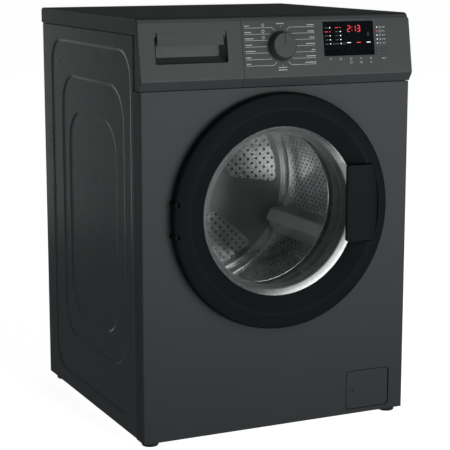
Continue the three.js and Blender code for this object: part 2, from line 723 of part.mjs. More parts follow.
function filterFlap() {
  let shape = prismY(roundedOutline(FLAP_X, FLAP_Z, 8), [0.3, 2.8]);
  shape = shape.subtract(rodY(4, [-1, 1.3], 174.4, 59.2, 20));
  shape = shape.add(rodZ(1.5, [FLAP_Z[0] + 4, FLAP_Z[1] - 4], ...FLAP_HINGE, 12));
  shape = shape.add(rodZ(1.1, [FLAP_Z[0] - 2.2, FLAP_Z[1] + 2.2], ...FLAP_HINGE, 12));
  return shape.add(block([FLAP_X[0] + 6, FLAP_X[0] + 9], [2, 10], [54, 66]));
}

// ---- Assembly ----

add('base_tray', baseTray(), 'zinc');
add('left_side_panel', sidePanel(-1), 'side');
add('right_side_panel', sidePanel(1), 'side');
add('rear_panel', rearPanel(), 'zinc');
add('rear_cover', rearCover(), 'zinc');
add('front_panel', frontPanel(), 'paint');
add('worktop', worktop(), 'top');
FOOT_PLACES.forEach(({ name, x, depth }) => {
  add(name, foot(), 'rubber').position.set(x, at(depth), 0);
});

add('control_panel', controlPanel(), 'fascia');
const glassPlate = onPanel(roundedOutline(DISPLAY_X, heights(DISPLAY_Z), 2), [-2.2, 0.2]);
add('display_window', solid(glassPlate), 'gloss', controls);
add('display_board', slab([-60, 262], heights([746, 806]), [-14.4, -12.8]), 'board', controls);
for (let i = 0; i < 5; i += 1) {
  const left = DISPLAY_X[0] + 0.2 + i * KEY_PITCH;
  add(`key_${i + 1}`, pushButton([left, left + KEY_PITCH - 0.6], KEY_Z, 0.2, 1), 'gloss', controls);
}
add('start_button', pushButton(START_X, START_Z, 0.7, 2.5), 'fascia', controls);
add('programme_knob', knob(), 'fascia', controls).position.set(KNOB_X, slope(KNOB_Z), 0);

add('dispenser_housing', dispenserHousing(), 'light_plastic');
add('drawer_front', drawerFront(), 'fascia');
add('drawer_tray', drawerTray(), 'light_plastic');

add('door_outer_ring', doorOuterRing(), 'black');
add('door_inner_ring', doorInnerRing(), 'black');
add('door_glass', doorGlass(), 'glass');
add('door_handle', doorHandle(), 'black');
add('door_hook', doorHook(), 'zinc');
add('door_hinge', doorHinge(), 'black');
add('door_lock', doorLock(), 'black');
add('bellows', bellows(), 'rubber');

add('tub_front', tubFront(), 'tub');
add('tub_rear', tubRear(), 'tub');
add('front_counterweight', frontCounterweight(), 'concrete');
add('top_counterweight', topCounterweight(), 'concrete');
add('heating_element', heatingElement(), 'steel');
add('motor', motor(), 'zinc');
add('drive_belt', driveBelt(), 'rubber');
add('front_bearing', bearing([443, 458]), 'steel');
add('rear_bearing', bearing([478, 493]), 'steel');
add('damper_left_cylinder', damperCylinder(-1), 'light_plastic');
add('damper_right_cylinder', damperCylinder(1), 'light_plastic');
add('damper_left_rod', damperRod(-1), 'light_plastic');
add('damper_right_rod', damperRod(1), 'light_plastic');
add('suspension_spring_left', suspensionSpring(-1), 'zinc');
add('suspension_spring_right', suspensionSpring(1), 'zinc');

add('drum_shell', drumShell(), 'steel');
LIFTER_ANGLES.forEach((angle, i) => {
  const mesh = add(`lifter_${i + 1}`, lifter(), 'tub');
  mesh.position.z = AXIS_Z;
  mesh.rotation.y = THREE.MathUtils.degToRad(270 - angle);
});
add('spider', spider(), 'aluminium');
add('drum_shaft', drumShaft(), 'steel');
add('drum_pulley', drumPulley(), 'aluminium');
add('motor_pulley', motorPulley(), 'zinc');

add('inlet_valve', inletValve(), 'light_plastic');
add('cable_gland', cableGland(), 'black');
add('drain_pump', drainPump(), 'light_plastic');
add('pump_filter', pumpFilter(), 'light_plastic');
add('filter_flap', filterFlap(), 'paint');

export default machine;
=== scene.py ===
import json
import math
import random

import bmesh
import bpy
from mathutils import Matrix, Vector


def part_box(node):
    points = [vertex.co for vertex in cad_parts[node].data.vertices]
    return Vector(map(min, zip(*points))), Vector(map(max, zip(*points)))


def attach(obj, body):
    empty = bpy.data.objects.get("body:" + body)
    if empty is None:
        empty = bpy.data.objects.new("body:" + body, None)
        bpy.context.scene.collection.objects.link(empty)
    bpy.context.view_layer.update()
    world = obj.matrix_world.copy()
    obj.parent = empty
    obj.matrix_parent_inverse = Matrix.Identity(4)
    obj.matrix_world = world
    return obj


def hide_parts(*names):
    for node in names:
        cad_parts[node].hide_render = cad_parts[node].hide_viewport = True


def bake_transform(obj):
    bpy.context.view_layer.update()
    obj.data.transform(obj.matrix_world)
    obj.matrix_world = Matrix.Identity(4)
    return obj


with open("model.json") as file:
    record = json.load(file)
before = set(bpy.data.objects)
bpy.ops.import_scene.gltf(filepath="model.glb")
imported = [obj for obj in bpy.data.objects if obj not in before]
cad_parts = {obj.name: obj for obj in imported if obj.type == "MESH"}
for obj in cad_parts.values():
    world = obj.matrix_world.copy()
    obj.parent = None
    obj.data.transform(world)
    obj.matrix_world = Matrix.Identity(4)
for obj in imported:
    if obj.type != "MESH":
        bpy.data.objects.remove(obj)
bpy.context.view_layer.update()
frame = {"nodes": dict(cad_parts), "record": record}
nodes = frame["nodes"]

# Lengths are in millimetres while a piece is made. X goes across, Z goes up, and Y is the depth behind the
# front panel's face.
MM = 0.001
FRONT_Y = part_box("front_panel")[0].y
DRUM_LOW, DRUM_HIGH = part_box("drum_shell")
AXIS_Z = (DRUM_LOW.z + DRUM_HIGH.z) / 2 / MM
LEAN = math.atan2(19, 112)
CREASE_Z = 730
MACHINE = Matrix.Translation((0, FRONT_Y, 0))
CREASE = Matrix.Translation((0, -10 * MM, CREASE_Z * MM))
PANEL = MACHINE @ CREASE @ Matrix.Rotation(math.pi / 2 - LEAN, 4, "X")
BACK = 580
DRUM_R = 232
LIFTER_ANGLES = (335, 95, 215)
KNOB = (3, 790)
INLET = (230, 757)
GRIP_PIN = (190, -17)
PUMP_FILTER = (212, 62)
SPRING_X = 215
SPRING_DEPTH = 350
FOOT_X = 275
FOOT_DEPTHS = (25, 545)


# ---- Camera, light and floor ----

def set_camera():
    bpy.ops.object.camera_add(location=(-1.3378, -2.8558, 0.9794))
    camera = bpy.context.object
    direction = Vector((0.419001, 0.888861, -0.185378))
    camera.rotation_euler = direction.to_track_quat("-Z", "Y").to_euler()
    camera.data.lens = 117.34
    camera.data.sensor_width = 36
    bpy.context.scene.camera = camera


def soft_light(name, place, aim, size, power):
    bpy.ops.object.light_add(type="AREA", location=place)
    lamp = bpy.context.object
    lamp.name = name
    lamp.rotation_euler = (Vector(aim) - Vector(place)).to_track_quat("-Z", "Y").to_euler()
    lamp.data.shape = "RECTANGLE"
    lamp.data.size, lamp.data.size_y = size
    lamp.data.energy = power
    lamp.visible_camera = False


def set_studio():
    bpy.context.scene.view_settings.view_transform = "Standard"
    world = bpy.data.worlds.new("studio")
    bpy.context.scene.world = world
    world.use_nodes = True
    backdrop = world.node_tree.nodes["Background"]
    backdrop.inputs["Color"].default_value = (0.30, 0.31, 0.32, 1)
    backdrop.inputs["Strength"].default_value = 0.30
    soft_light("key_light", (0.9, -3.4, 3.4), (0, 0, 0.5), (2.0, 1.0), 62)
    soft_light("drum_light", (1.4, -3.1, 0.45), (0.05, 0, 0.5), (2.0, 0.8), 56)
    soft_light("floor_bounce", (0.2, -2.6, 0.012), (0.2, -2.6, 1), (4.4, 3.0), 60)
    soft_light("side_strip", (-2.9, 1.7, 0.55), (-0.3, 0.1, 0.45), (0.4, 1.6), 2.5)
    soft_light("rear_strip", (-0.75, 3.3, 0.55), (-0.35, 0.1, 0.45), (0.3, 1.6), 3)
    bpy.ops.mesh.primitive_circle_add(vertices=96, radius=30, fill_type="NGON")
    floor = bpy.context.object
    floor.name = "floor"
    floor.visible_glossy = False
    paper = Recipe("pale_floor")
    tone = paper.noise(3, 2).between((0.93, 0.93, 0.93), (0.96, 0.96, 0.96))
    paper.surface({
        "Base Color": tone, "Roughness": 0.9,
        "Emission Color": (1, 1, 1, 1), "Emission Strength": 0.9,
    })
    floor.data.materials.append(paper.material)


# ---- Shader recipes ----

def shade(red, green, blue):
    """A linear colour from the usual 0 to 255 values."""
    parts = []
    for value in (red, green, blue):
        value = value / 255
        parts.append(value / 12.92 if value <= 0.04045 else ((value + 0.055) / 1.055) ** 2.4)
    return (*parts, 1)


def opaque(colour):
    return (*colour[:3], 1)


class Field:
    """A value that changes over a surface. Python's operators on it add its Math nodes."""

    def __init__(self, recipe, socket):
        self.recipe = recipe
        self.socket = socket

    def _maths(self, operation, first, second=0.0):
        return self.recipe.node("ShaderNodeMath", {"operation": operation}, {0: first, 1: second})

    def __add__(self, other):
        return self._maths("ADD", self, other)

    def __radd__(self, other):
        return self._maths("ADD", other, self)

    def __sub__(self, other):
        return self._maths("SUBTRACT", self, other)

    def __rsub__(self, other):
        return self._maths("SUBTRACT", other, self)

    def __mul__(self, other):
        return self._maths("MULTIPLY", self, other)

    def __rmul__(self, other):
        return self._maths("MULTIPLY", other, self)

    def __pow__(self, other):
        return self._maths("POWER", self, other)

    def __gt__(self, other):
        return self._maths("GREATER_THAN", self, other)

    def __lt__(self, other):
        return self._maths("LESS_THAN", self, other)

    def __mod__(self, other):
        return self._maths("FLOORED_MODULO", self, other)

    def wave(self):
        return self._maths("SINE", self)

    def clamped(self, low, high):
        settings = {"interpolation_type": "SMOOTHSTEP"}
        return self.recipe.node("ShaderNodeMapRange", settings, {0: self, 1: low, 2: high})

    def between(self, low, high):
        """Blends two colours, from low where this value is 0 to high where it is 1."""
        sockets = {0: self, 6: low if isinstance(low, Field) else opaque(low)}
        sockets[7] = high if isinstance(high, Field) else opaque(high)
        return self.recipe.node("ShaderNodeMix", {"data_type": "RGBA"}, sockets, 2)


class Recipe:
    """One finish: a material and the nodes that make it."""

    def __init__(self, name):
        self.material = bpy.data.materials.new(name)
        self.material.use_nodes = True
        self.tree = self.material.node_tree
        self.tree.nodes.clear()

    def node(self, kind, settings=None, sockets=None, out=0):
        made = self.tree.nodes.new(kind)
        for key, value in (settings or {}).items():
            setattr(made, key, value)
        for key, value in (sockets or {}).items():
            if isinstance(value, Field):
                self.tree.links.new(value.socket, made.inputs[key])
            else:
                made.inputs[key].default_value = value
        return Field(self, made.outputs[out])

    def here(self, scale=(1, 1, 1)):
        """The place on the piece, in metres in the machine's own axes."""
        place = self.node("ShaderNodeTexCoord", out="Object")
        return self.node("ShaderNodeMapping", None, {"Vector": place, "Scale": scale})

    def noise(self, millimetres, detail=3, rough=0.5, stretch=(1, 1, 1)):
        sockets = {"Vector": self.here(stretch), "Scale": 1 / (millimetres * MM)}
        sockets["Detail"] = detail
        sockets["Roughness"] = rough
        return self.node("ShaderNodeTexNoise", None, sockets)

    def cells(self, millimetres, feature="F1", stretch=(1, 1, 1), out="Distance"):
        sockets = {"Vector": self.here(stretch), "Scale": 1 / (millimetres * MM)}
        return self.node("ShaderNodeTexVoronoi", {"feature": feature}, sockets, out)

    def axis(self, letter):
        return self.node("ShaderNodeSeparateXYZ", None, {0: self.here()}, letter)

    def relief(self, height, millimetres, strength=1.0):
        sockets = {"Height": height, "Distance": millimetres * MM, "Strength": strength}
        return self.node("ShaderNodeBump", None, sockets)

    def surface(self, sockets):
        shader = self.node("ShaderNodeBsdfPrincipled", None, sockets)
        self.node_output(shader)
        return self.material

    def node_output(self, shader):
        end = self.tree.nodes.new("ShaderNodeOutputMaterial")
        self.tree.links.new(shader.socket, end.inputs["Surface"])


def scaled(colour, factor):
    return tuple(value * factor for value in colour[:3])


def moulded(name, colour, grain, depth, roughness, sheen=0.0):
    """Moulded plastic or rubber: a fine texture, slow shading of the pigment and a few dull patches."""
    mix = Recipe(name)
    cloud = mix.noise(60, 3)
    fine = mix.noise(grain, 2, 0.6)
    pigment = cloud * 0.6 + fine * 0.4
    tone = pigment.clamped(0.3, 0.7).between(scaled(colour, 0.93), scaled(colour, 1.07))
    dull = mix.noise(18, 4) * 0.10 + fine * 0.06 + (roughness - 0.08)
    return mix.surface({
        "Base Color": tone, "Roughness": dull, "Normal": mix.relief(fine, depth),
        "Sheen Weight": sheen, "Specular IOR Level": 0.35,
    })


def sprayed(name, colour, roughness, shine):
    """Baked paint on sheet steel: orange peel, a faint fleck and slow changes of gloss."""
    mix = Recipe(name)
    peel = mix.noise(2.6, 2)
    fleck = mix.cells(0.45, out="Color")
    lift = mix.node("ShaderNodeSeparateColor", None, {0: fleck}, 0)
    tone = (lift * 0.5 + mix.noise(90, 2) * 0.5).between(scaled(colour, 0.92), scaled(colour, 1.08))
    gloss = mix.noise(60, 2) * 0.03 + peel * 0.03 + (roughness - 0.03)
    return mix.surface({
        "Base Color": tone, "Roughness": gloss, "Specular IOR Level": shine,
        "Normal": mix.relief(peel, 0.03),
    })


def leathered_board(name, colour):
    """The worktop's laminate: a close pebble texture."""
    mix = Recipe(name)
    pebble = mix.cells(1.1, "SMOOTH_F1")
    tone = (mix.noise(70, 2) * 0.6 + pebble * 0.5).between(scaled(colour, 0.9), scaled(colour, 1.12))
    gloss = mix.noise(25, 3) * 0.1 + pebble * 0.1 + 0.42
    return mix.surface({"Base Color": tone, "Roughness": gloss, "Normal": mix.relief(pebble, 0.10)})


def glossy_black(name, colour, roughness, shine):
    """Polished black plastic with faint wiping marks."""
    mix = Recipe(name)
    wipe = mix.noise(14, 3, 0.6, (1, 1, 3.5))
    tone = mix.noise(50, 2).between(scaled(colour, 0.9), scaled(colour, 1.15))
    gloss = wipe.clamped(0.45, 0.75) * 0.08 + roughness
    return mix.surface({
        "Base Color": tone, "Roughness": gloss, "Normal": mix.relief(mix.noise(5, 2), 0.02),
        "Specular IOR Level": shine,
    })


def brushed(name, colour, along, roughness):
    """Brushed or rolled steel: fine lines along an axis, and cloudy changes of shine."""
    mix = Recipe(name)
    stretch = {"X": (0.03, 1, 1), "Y": (1, 0.03, 1), "Z": (1, 1, 0.03)}[along]
    lines = mix.noise(0.5, 3, 0.7, stretch)
    cloud = mix.noise(35, 3)
    worn = (lines * 0.6 + cloud * 0.4).clamped(0.3, 0.7)
    tone = worn.between(scaled(colour, 0.82), scaled(colour, 1.1))
    gloss = lines * 0.12 + cloud * 0.10 + (roughness - 0.1)
    return mix.surface({
        "Base Color": tone, "Roughness": gloss, "Metallic": 1.0, "Normal": mix.relief(lines, 0.02),
    })


def galvanised(name, colour):
    """Zinc-coated sheet with its flat crystals."""
    mix = Recipe(name)
    crystal = mix.cells(9, out="Color")
    flower = mix.node("ShaderNodeSeparateColor", None, {0: crystal}, 0)
    fine = mix.noise(1.5, 3)
    tone = (flower * 0.7 + fine * 0.3).between(scaled(colour, 0.75), scaled(colour, 1.15))
    gloss = flower * 0.18 + fine * 0.08 + 0.32
    return mix.surface({
        "Base Color": tone, "Roughness": gloss, "Metallic": 0.85, "Normal": mix.relief(fine, 0.02),
    })


def cast_block(name, colour):
    """Cast concrete: sand, stones and small air holes."""
    mix = Recipe(name)
    stones = mix.cells(7, "SMOOTH_F1")
    sand = mix.noise(0.8, 4, 0.7)
    holes = mix.cells(11).clamped(0.05, 0.12)
    tone = (stones * 0.5 + sand * 0.5).between(scaled(colour, 0.7), scaled(colour, 1.2))
    pitted = mix.relief(holes + sand * 0.3, 0.7)
    return mix.surface({"Base Color": tone, "Roughness": 0.93, "Normal": pitted})


def sand_cast(name, colour):
    """Cast aluminium as it leaves the mould."""
    mix = Recipe(name)
    grit = mix.noise(0.9, 4, 0.7)
    stain = mix.noise(30, 3)
    tone = (grit * 0.5 + stain * 0.5).between(scaled(colour, 0.75), scaled(colour, 1.15))
    return mix.surface({
        "Base Color": tone, "Roughness": grit * 0.25 + 0.4, "Metallic": 0.9,
        "Normal": mix.relief(grit, 0.25),
    })


def circuit_board():
    """Green board with copper tracks under its lacquer, and solder points."""
    mix = Recipe("green_circuit_board")
    track = (mix.axis("X") * (1 / (2.4 * MM))) % 1.0
    broken = mix.cells(14) > 0.42
    copper = (track > 0.62) * broken
    solder = mix.cells(3.3) < 0.16
    board = copper.between((0.008, 0.07, 0.03), (0.02, 0.16, 0.07))
    tone = solder.between(board, (0.55, 0.55, 0.52))
    return mix.surface({
        "Base Color": tone, "Roughness": 0.42 - solder * 0.15, "Metallic": solder,
        "Normal": mix.relief(copper + solder, 0.06),
    })


def ribbed_belt():
    mix = Recipe("ribbed_belt_rubber")
    rib = (mix.axis("Y") * (2 * math.pi / (2.0 * MM))).wave()
    dust = mix.noise(4, 4, 0.7)
    tone = dust.between((0.010, 0.010, 0.010), (0.035, 0.034, 0.032))
    return mix.surface({"Base Color": tone, "Roughness": dust * 0.2 + 0.65, "Normal": mix.relief(rib, 0.5)})


def laminated_motor():
    """Stacked steel sheets, seen as fine rings along the motor."""
    mix = Recipe("stacked_motor_steel")
    sheet = (mix.axis("Y") * (2 * math.pi / (1.1 * MM))).wave()
    stain = mix.noise(16, 4)
    tone = stain.between((0.16, 0.165, 0.17), (0.36, 0.37, 0.38))
    gloss = stain * 0.25 + 0.3
    return mix.surface({
        "Base Color": tone, "Roughness": gloss, "Metallic": 0.9, "Normal": mix.relief(sheet, 0.12),
    })


def bowl_glass():
    """Clear pressed glass with faint flow lines. Its side is greyer, and its rim carries a painted highlight,
    brightest towards the lower right.
    """
    mix = Recipe("clear_bowl_glass")
    flow = mix.noise(7, 3, 0.6, (1, 0.10, 1))
    x = mix.axis("X")
    z = mix.axis("Z") - AXIS_Z * MM
    radius = (x * x + z * z) ** 0.5
    side = radius.clamped(0.118, 0.136) * flow.clamped(0.30, 0.75)
    # Painted highlight: the rim gets a bright tone and more shine, brightest towards the lower right.
    low_right_highlight = (x * 1.3 - z * 0.7).clamped(0.0, 0.24)
    rim = radius.clamped(0.1575, 0.1625) * low_right_highlight
    edge = mix.node("ShaderNodeLayerWeight", None, {"Blend": 0.30}, "Facing")
    body = edge * edge * 0.45 + side * 0.16 + rim * 0.75 + 0.012
    tone = rim.between((0.16, 0.17, 0.17), (0.85, 0.87, 0.87))
    clear = mix.node("ShaderNodeBsdfTransparent", None, {"Color": (0.98, 0.985, 0.985, 1)})
    shine = mix.node("ShaderNodeBsdfPrincipled", None, {
        "Base Color": tone, "Roughness": flow * 0.10 + 0.16, "Normal": mix.relief(flow, 0.04),
    })
    mix.node_output(mix.node("ShaderNodeMixShader", None, {0: body, 1: clear, 2: shine}))
    return mix.material


def lit_mark(name, colour, power):
    """A lamp behind the display, its glow changing a little over its face."""
    mix = Recipe(name)
    glow = mix.noise(1.6, 1).between(scaled(colour, 0.8), scaled(colour, 1.1))
    return mix.surface({
        "Base Color": opaque(colour), "Roughness": 0.3,
        "Emission Color": glow, "Emission Strength": power,
    })


def printed_ink(name, colour):
    mix = Recipe(name)
    fibre = mix.noise(0.6, 3, 0.7)
    tone = fibre.between(scaled(colour, 0.85), scaled(colour, 1.1))
    gloss = fibre * 0.2 + 0.4
    return mix.surface({"Base Color": tone, "Roughness": gloss, "Normal": mix.relief(fibre, 0.01)})


FINISH = {
    "front_paint": sprayed("dark_grey_front_paint", shade(39, 42, 43), 0.44, 0.10),
    # The side paint is the front paint's colour made darker: painted shade on the sides, which face away from
    # the light.
    "side_paint": sprayed("dark_grey_side_paint_painted_shade", shade(34, 38, 39), 0.28, 0.3),
    "worktop": leathered_board("dark_worktop_laminate", shade(28, 32, 32)),
    "fascia_plastic": moulded("fascia_grey_plastic", shade(35, 39, 39), 0.8, 0.03, 0.5),
    "display_gloss": glossy_black("display_black_gloss", shade(8, 10, 12), 0.12, 0.04),
    "circuit_board": circuit_board(),
    "grey_plastic": moulded("housing_grey_plastic", (0.25, 0.26, 0.26), 1.4, 0.08, 0.6),
    "pale_plastic": moulded("drawer_pale_plastic", (0.55, 0.57, 0.56), 1.2, 0.04, 0.42),
    "door_plastic": glossy_black("door_black_plastic", shade(13, 17, 18), 0.5, 0.03),
    "door_glass": bowl_glass(),
    "hinge_steel": glossy_black("hinge_black_coating", shade(12, 14, 15), 0.55, 0.04),
    "black_plastic": moulded("lock_black_plastic", (0.012, 0.012, 0.013), 1.0, 0.06, 0.55),
    "bellows_rubber": moulded("bellows_grey_rubber", (0.030, 0.032, 0.033), 2.2, 0.10, 0.62, 0.25),
    "tub_plastic": moulded("tub_filled_plastic", (0.05, 0.053, 0.055), 1.8, 0.15, 0.68),
    "concrete": cast_block("counterweight_concrete", (0.27, 0.26, 0.24)),
    "stainless_steel": brushed("drum_stainless_steel", (0.78, 0.79, 0.79), "Y", 0.24),
    "motor_steel": laminated_motor(),
    "belt_rubber": ribbed_belt(),
    "zinc_steel": galvanised("zinc_coated_steel", (0.42, 0.43, 0.44)),
    "lifter_plastic": moulded("lifter_grey_plastic", shade(205, 208, 208), 1.3, 0.05, 0.4),
    "cast_aluminium": sand_cast("spider_cast_aluminium", (0.5, 0.51, 0.52)),
    "foot_rubber": moulded("foot_black_rubber", (0.010, 0.010, 0.010), 1.2, 0.12, 0.75),
}
WHITE_INK = printed_ink("pale_panel_ink", shade(150, 154, 153))
DIM_INK = printed_ink("dim_display_ink", shade(62, 66, 67))
WHITE_LAMP = lit_mark("white_display_lamp", (0.62, 0.65, 0.67), 0.9)
RED_LAMP = lit_mark("red_display_lamp", (0.50, 0.02, 0.035), 0.9)
# The drum back's arms get the drum's stainless steel much darkened: painted shade, for smooth arms that look
# dark.
SHADED_STAR_STEEL = brushed("drum_back_satin_steel_painted_shade", (0.30, 0.31, 0.31), "X", 0.36)


# ---- Making pieces ----

def only(obj):
    bpy.ops.object.select_all(action="DESELECT")
    obj.select_set(True)
    bpy.context.view_layer.objects.active = obj
    return obj


def settle(obj, place=None):
    """Puts an object's place into its mesh."""
    if place is not None:
        obj.matrix_world = place @ obj.matrix_world
    only(obj)
    bpy.ops.object.transform_apply(location=True, rotation=True, scale=True)
    return obj


def begin(obj, kind="FACE"):
    only(obj)
    bpy.ops.object.mode_set(mode="EDIT")
    bpy.ops.mesh.select_mode(type=kind)
    bpy.ops.mesh.select_all(action="SELECT")


def end(outwards=False):
    if outwards:
        bpy.ops.mesh.select_all(action="SELECT")
        bpy.ops.mesh.normals_make_consistent(inside=False)
    bpy.ops.object.mode_set(mode="OBJECT")


def choose(obj, kind, test):
    """Selects the corners, edges or faces that pass a test on their middle and direction."""
    bpy.ops.mesh.select_mode(type=kind)
    bpy.ops.mesh.select_all(action="DESELECT")
    mesh = bmesh.from_edit_mesh(obj.data)
    for part in {"VERT": mesh.verts, "EDGE": mesh.edges, "FACE": mesh.faces}[kind]:
        if kind == "VERT":
            middle, direction = part.co, part.normal
        elif kind == "EDGE":
            first, second = (v.co for v in part.verts)
            middle, direction = (first + second) / 2, (second - first).normalized()
        else:
            middle, direction = part.calc_center_median(), part.normal
        if test(middle / MM, direction):
            part.select_set(True)
    mesh.select_flush_mode()
    bmesh.update_edit_mesh(obj.data)


def modify(obj, kind, **settings):
    only(obj)
    modifier = obj.modifiers.new(kind, kind)
    for key, value in settings.items():
        setattr(modifier, key, value)
    bpy.ops.object.modifier_apply(modifier=modifier.name)
    return obj


def discard(obj):
    mesh = obj.data
    bpy.data.objects.remove(obj)
    bpy.data.meshes.remove(mesh)


def cut(obj, *cutters):
    for cutter in cutters:
        modify(obj, "BOOLEAN", operation="DIFFERENCE", solver="EXACT", object=cutter)
        discard(cutter)
    return obj


def trim(obj, mask):
    modify(obj, "BOOLEAN", operation="INTERSECT", solver="EXACT", object=mask)
    discard(mask)
    return obj


def welded(obj, *others):
    for other in others:
        modify(obj, "BOOLEAN", operation="UNION", solver="EXACT", object=other)
        discard(other)
    return obj


def together(first, *others):
    """One object from several loose pieces."""
    only(first)
    for other in others:
        other.select_set(True)
    if others:
        bpy.ops.object.join()
    return first


def copied(obj, shift=(0, 0, 0), turn=0.0, about=(0, 0, 0), axis="Y"):
    """A copy with its own mesh, turned about an axis and moved."""
    only(obj)
    bpy.ops.object.duplicate(linked=False)
    other = bpy.context.object
    pivot = Matrix.Translation(Vector(about) * MM)
    move = Matrix.Translation(Vector(shift) * MM)
    return settle(other, move @ pivot @ Matrix.Rotation(turn, 4, axis) @ pivot.inverted())


def soften(obj, width=0.8, segments=2, angle=32):
    settings = {"limit_method": "ANGLE", "angle_limit": math.radians(angle), "harden_normals": False}
    return modify(obj, "BEVEL", width=width * MM, segments=segments, **settings)


def block(x, y, z):
    centre = Vector(((x[0] + x[1]) / 2, (y[0] + y[1]) / 2, (z[0] + z[1]) / 2)) * MM
    size = Vector((x[1] - x[0], y[1] - y[0], z[1] - z[0])) * MM
    bpy.ops.object.select_all(action="DESELECT")
    bpy.ops.mesh.primitive_cube_add(size=1, location=centre, scale=size)
    return settle(bpy.context.object)


def round_edges(obj, test, width, segments):
    """Rounds only the edges that pass a test."""
    begin(obj, "EDGE")
    choose(obj, "EDGE", test)
    bpy.ops.mesh.bevel(offset=width * MM, segments=segments, affect="EDGES")
    end(True)
    return obj


def plate(x, y, z, axis, r, segments=6):
    """A block whose four edges along an axis are rounded."""
    way = {"X": Vector((1, 0, 0)), "Y": Vector((0, 1, 0)), "Z": Vector((0, 0, 1))}[axis]
    obj = block(x, y, z)
    return round_edges(obj, lambda middle, direction: abs(direction.dot(way)) > 0.99, r, segments)


def rod(r, span, centre, axis="Y", segments=48, top=None):
    """A rod along an axis between two limits, centred on the other two coordinates. Top is its far radius."""
    middle = (span[0] + span[1]) / 2
    turn = {"Y": (-math.pi / 2, 0, 0), "Z": (0, 0, 0)}[axis]
    place = {"Y": (centre[0], middle, centre[1]), "Z": (*centre, middle)}[axis]
    bpy.ops.object.select_all(action="DESELECT")
    bpy.ops.mesh.primitive_cone_add(
        vertices=segments, radius1=r * MM, radius2=(r if top is None else top) * MM,
        depth=(span[1] - span[0]) * MM, location=Vector(place) * MM, rotation=turn,
    )
    return settle(bpy.context.object)


def turned(profile, axis="Y", centre=(0, AXIS_Z), segments=96, closed=True):
    """A round piece drawn out ring by ring, from radius and distance pairs along an axis."""
    radius, along = profile[0]
    way = {"Y": Vector((0, 1, 0)), "Z": Vector((0, 0, 1))}[axis]
    turn = {"Y": (math.pi / 2, 0, 0), "Z": (0, 0, 0)}[axis]

    def middle(distance):
        spot = (centre[0], distance, centre[1]) if axis == "Y" else (*centre, distance)
        return Vector(spot) * MM

    bpy.ops.object.select_all(action="DESELECT")
    capped = radius < 1
    bpy.ops.mesh.primitive_circle_add(
        vertices=segments, radius=radius * MM, location=middle(along), rotation=turn,
        fill_type="NGON" if capped else "NOTHING",
    )
    obj = settle(bpy.context.object)
    begin(obj, "EDGE")
    points = list(profile[1:]) + ([profile[0]] if closed and not capped else [])
    if capped:
        choose(obj, "EDGE", lambda spot, direction: True)
    for next_radius, next_along in points:
        step = way * (next_along - along) * MM
        bpy.ops.mesh.extrude_edges_move(TRANSFORM_OT_translate={"value": step})
        ratio = next_radius / radius
        grow = (ratio, 1, ratio) if axis == "Y" else (ratio, ratio, 1)
        bpy.ops.transform.resize(value=grow, center_override=middle(next_along))
        radius, along = next_radius, next_along
    if capped or radius < 1:
        bpy.ops.mesh.edge_face_add()
    bpy.ops.mesh.select_all(action="SELECT")
    bpy.ops.mesh.remove_doubles(threshold=0.002 * MM)
    end(True)
    return obj


def drawn(points, axis, span):
    """A prism: its outline is drawn corner by corner across an axis, filled and pulled along it."""
    def corner(first, second, along):
        spots = {"X": (along, first, second), "Y": (first, along, second), "Z": (first, second, along)}
        return Vector(spots[axis]) * MM

    bpy.ops.object.select_all(action="DESELECT")
    bpy.ops.mesh.primitive_plane_add(size=MM)
    obj = bpy.context.object
    begin(obj, "VERT")
    bpy.ops.mesh.merge(type="CENTER")
    bpy.ops.transform.translate(value=corner(*points[0], span[0]))
    for before, after in zip(points, points[1:]):
        step = corner(*after, 0) - corner(*before, 0)
        bpy.ops.mesh.extrude_vertices_move(TRANSFORM_OT_translate={"value": step})
    bpy.ops.mesh.select_all(action="SELECT")
    bpy.ops.mesh.edge_face_add()
    bpy.ops.mesh.select_mode(type="FACE")
    bpy.ops.mesh.select_all(action="SELECT")
    pull = corner(0, 0, span[1] - span[0])
    bpy.ops.mesh.extrude_region_move(TRANSFORM_OT_translate={"value": pull})
    end(True)
    return obj


def arc(centre, r, start, stop, steps):
    """Points on an arc, with its angles in degrees."""
    points = []
    for i in range(steps + 1):
        angle = math.radians(start + (stop - start) * i / steps)
        points.append((centre[0] + r * math.cos(angle), centre[1] + r * math.sin(angle)))
    return points


def fitted(obj, name, body, slot, finish=None, stands_for=(), place=MACHINE, angle=30, flat=True):
    """The last steps on a piece: its place, shading, finish (its slot's finish unless one is given), body,
    and hiding the solids it stands for.
    """
    settle(obj, place)
    obj.name = name
    obj.data.name = name
    only(obj)
    bpy.ops.object.shade_smooth_by_angle(angle=math.radians(angle))
    if flat:
        modify(obj, "WEIGHTED_NORMAL", keep_sharp=True, weight=50)
    obj.data.materials.clear()
    obj.data.materials.append(finish or FINISH[slot])
    if body is not None:
        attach(obj, body)
    if stands_for:
        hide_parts(*stands_for)
    return obj


# ---- Cabinet ----

SIDE_PRESSINGS = (
    # depth, height, corner radius and the distance of the sunk floor from the machine's middle
    ((41, 536), (31, 799), 60, 296.0),
    ((83, 476), (122, 726), 76, 294.0),
    ((131, 438), (180, 650), 72, 292.0),
)


def side_panel(side, name):
    """A side panel with three nested pressings, each with a sloped and rounded wall."""
    def outward(low, high):
        return (low, high) if side > 0 else (-high, -low)

    sheet = block(outward(286, 297.9), (37, 579.6), (10.6, 816.6))
    for depth, height, r, floor in SIDE_PRESSINGS:
        tray = plate(outward(floor, 302), depth, height, "X", r, 12)
        begin(tray)
        choose(tray, "FACE", lambda middle, direction: direction.x * side < -0.9)
        shrink = (1, 1 - 34 / (depth[1] - depth[0]), 1 - 34 / (height[1] - height[0]))
        bpy.ops.transform.resize(value=shrink)
        end(True)
        cut(sheet, tray)
    soften(sheet, 3.2, 4, 6)
    # The side sheets take the darkened side paint, a painted shade.
    fitted(sheet, f"{name}_sheet", "cabinet", "side_paint", stands_for=(name,))


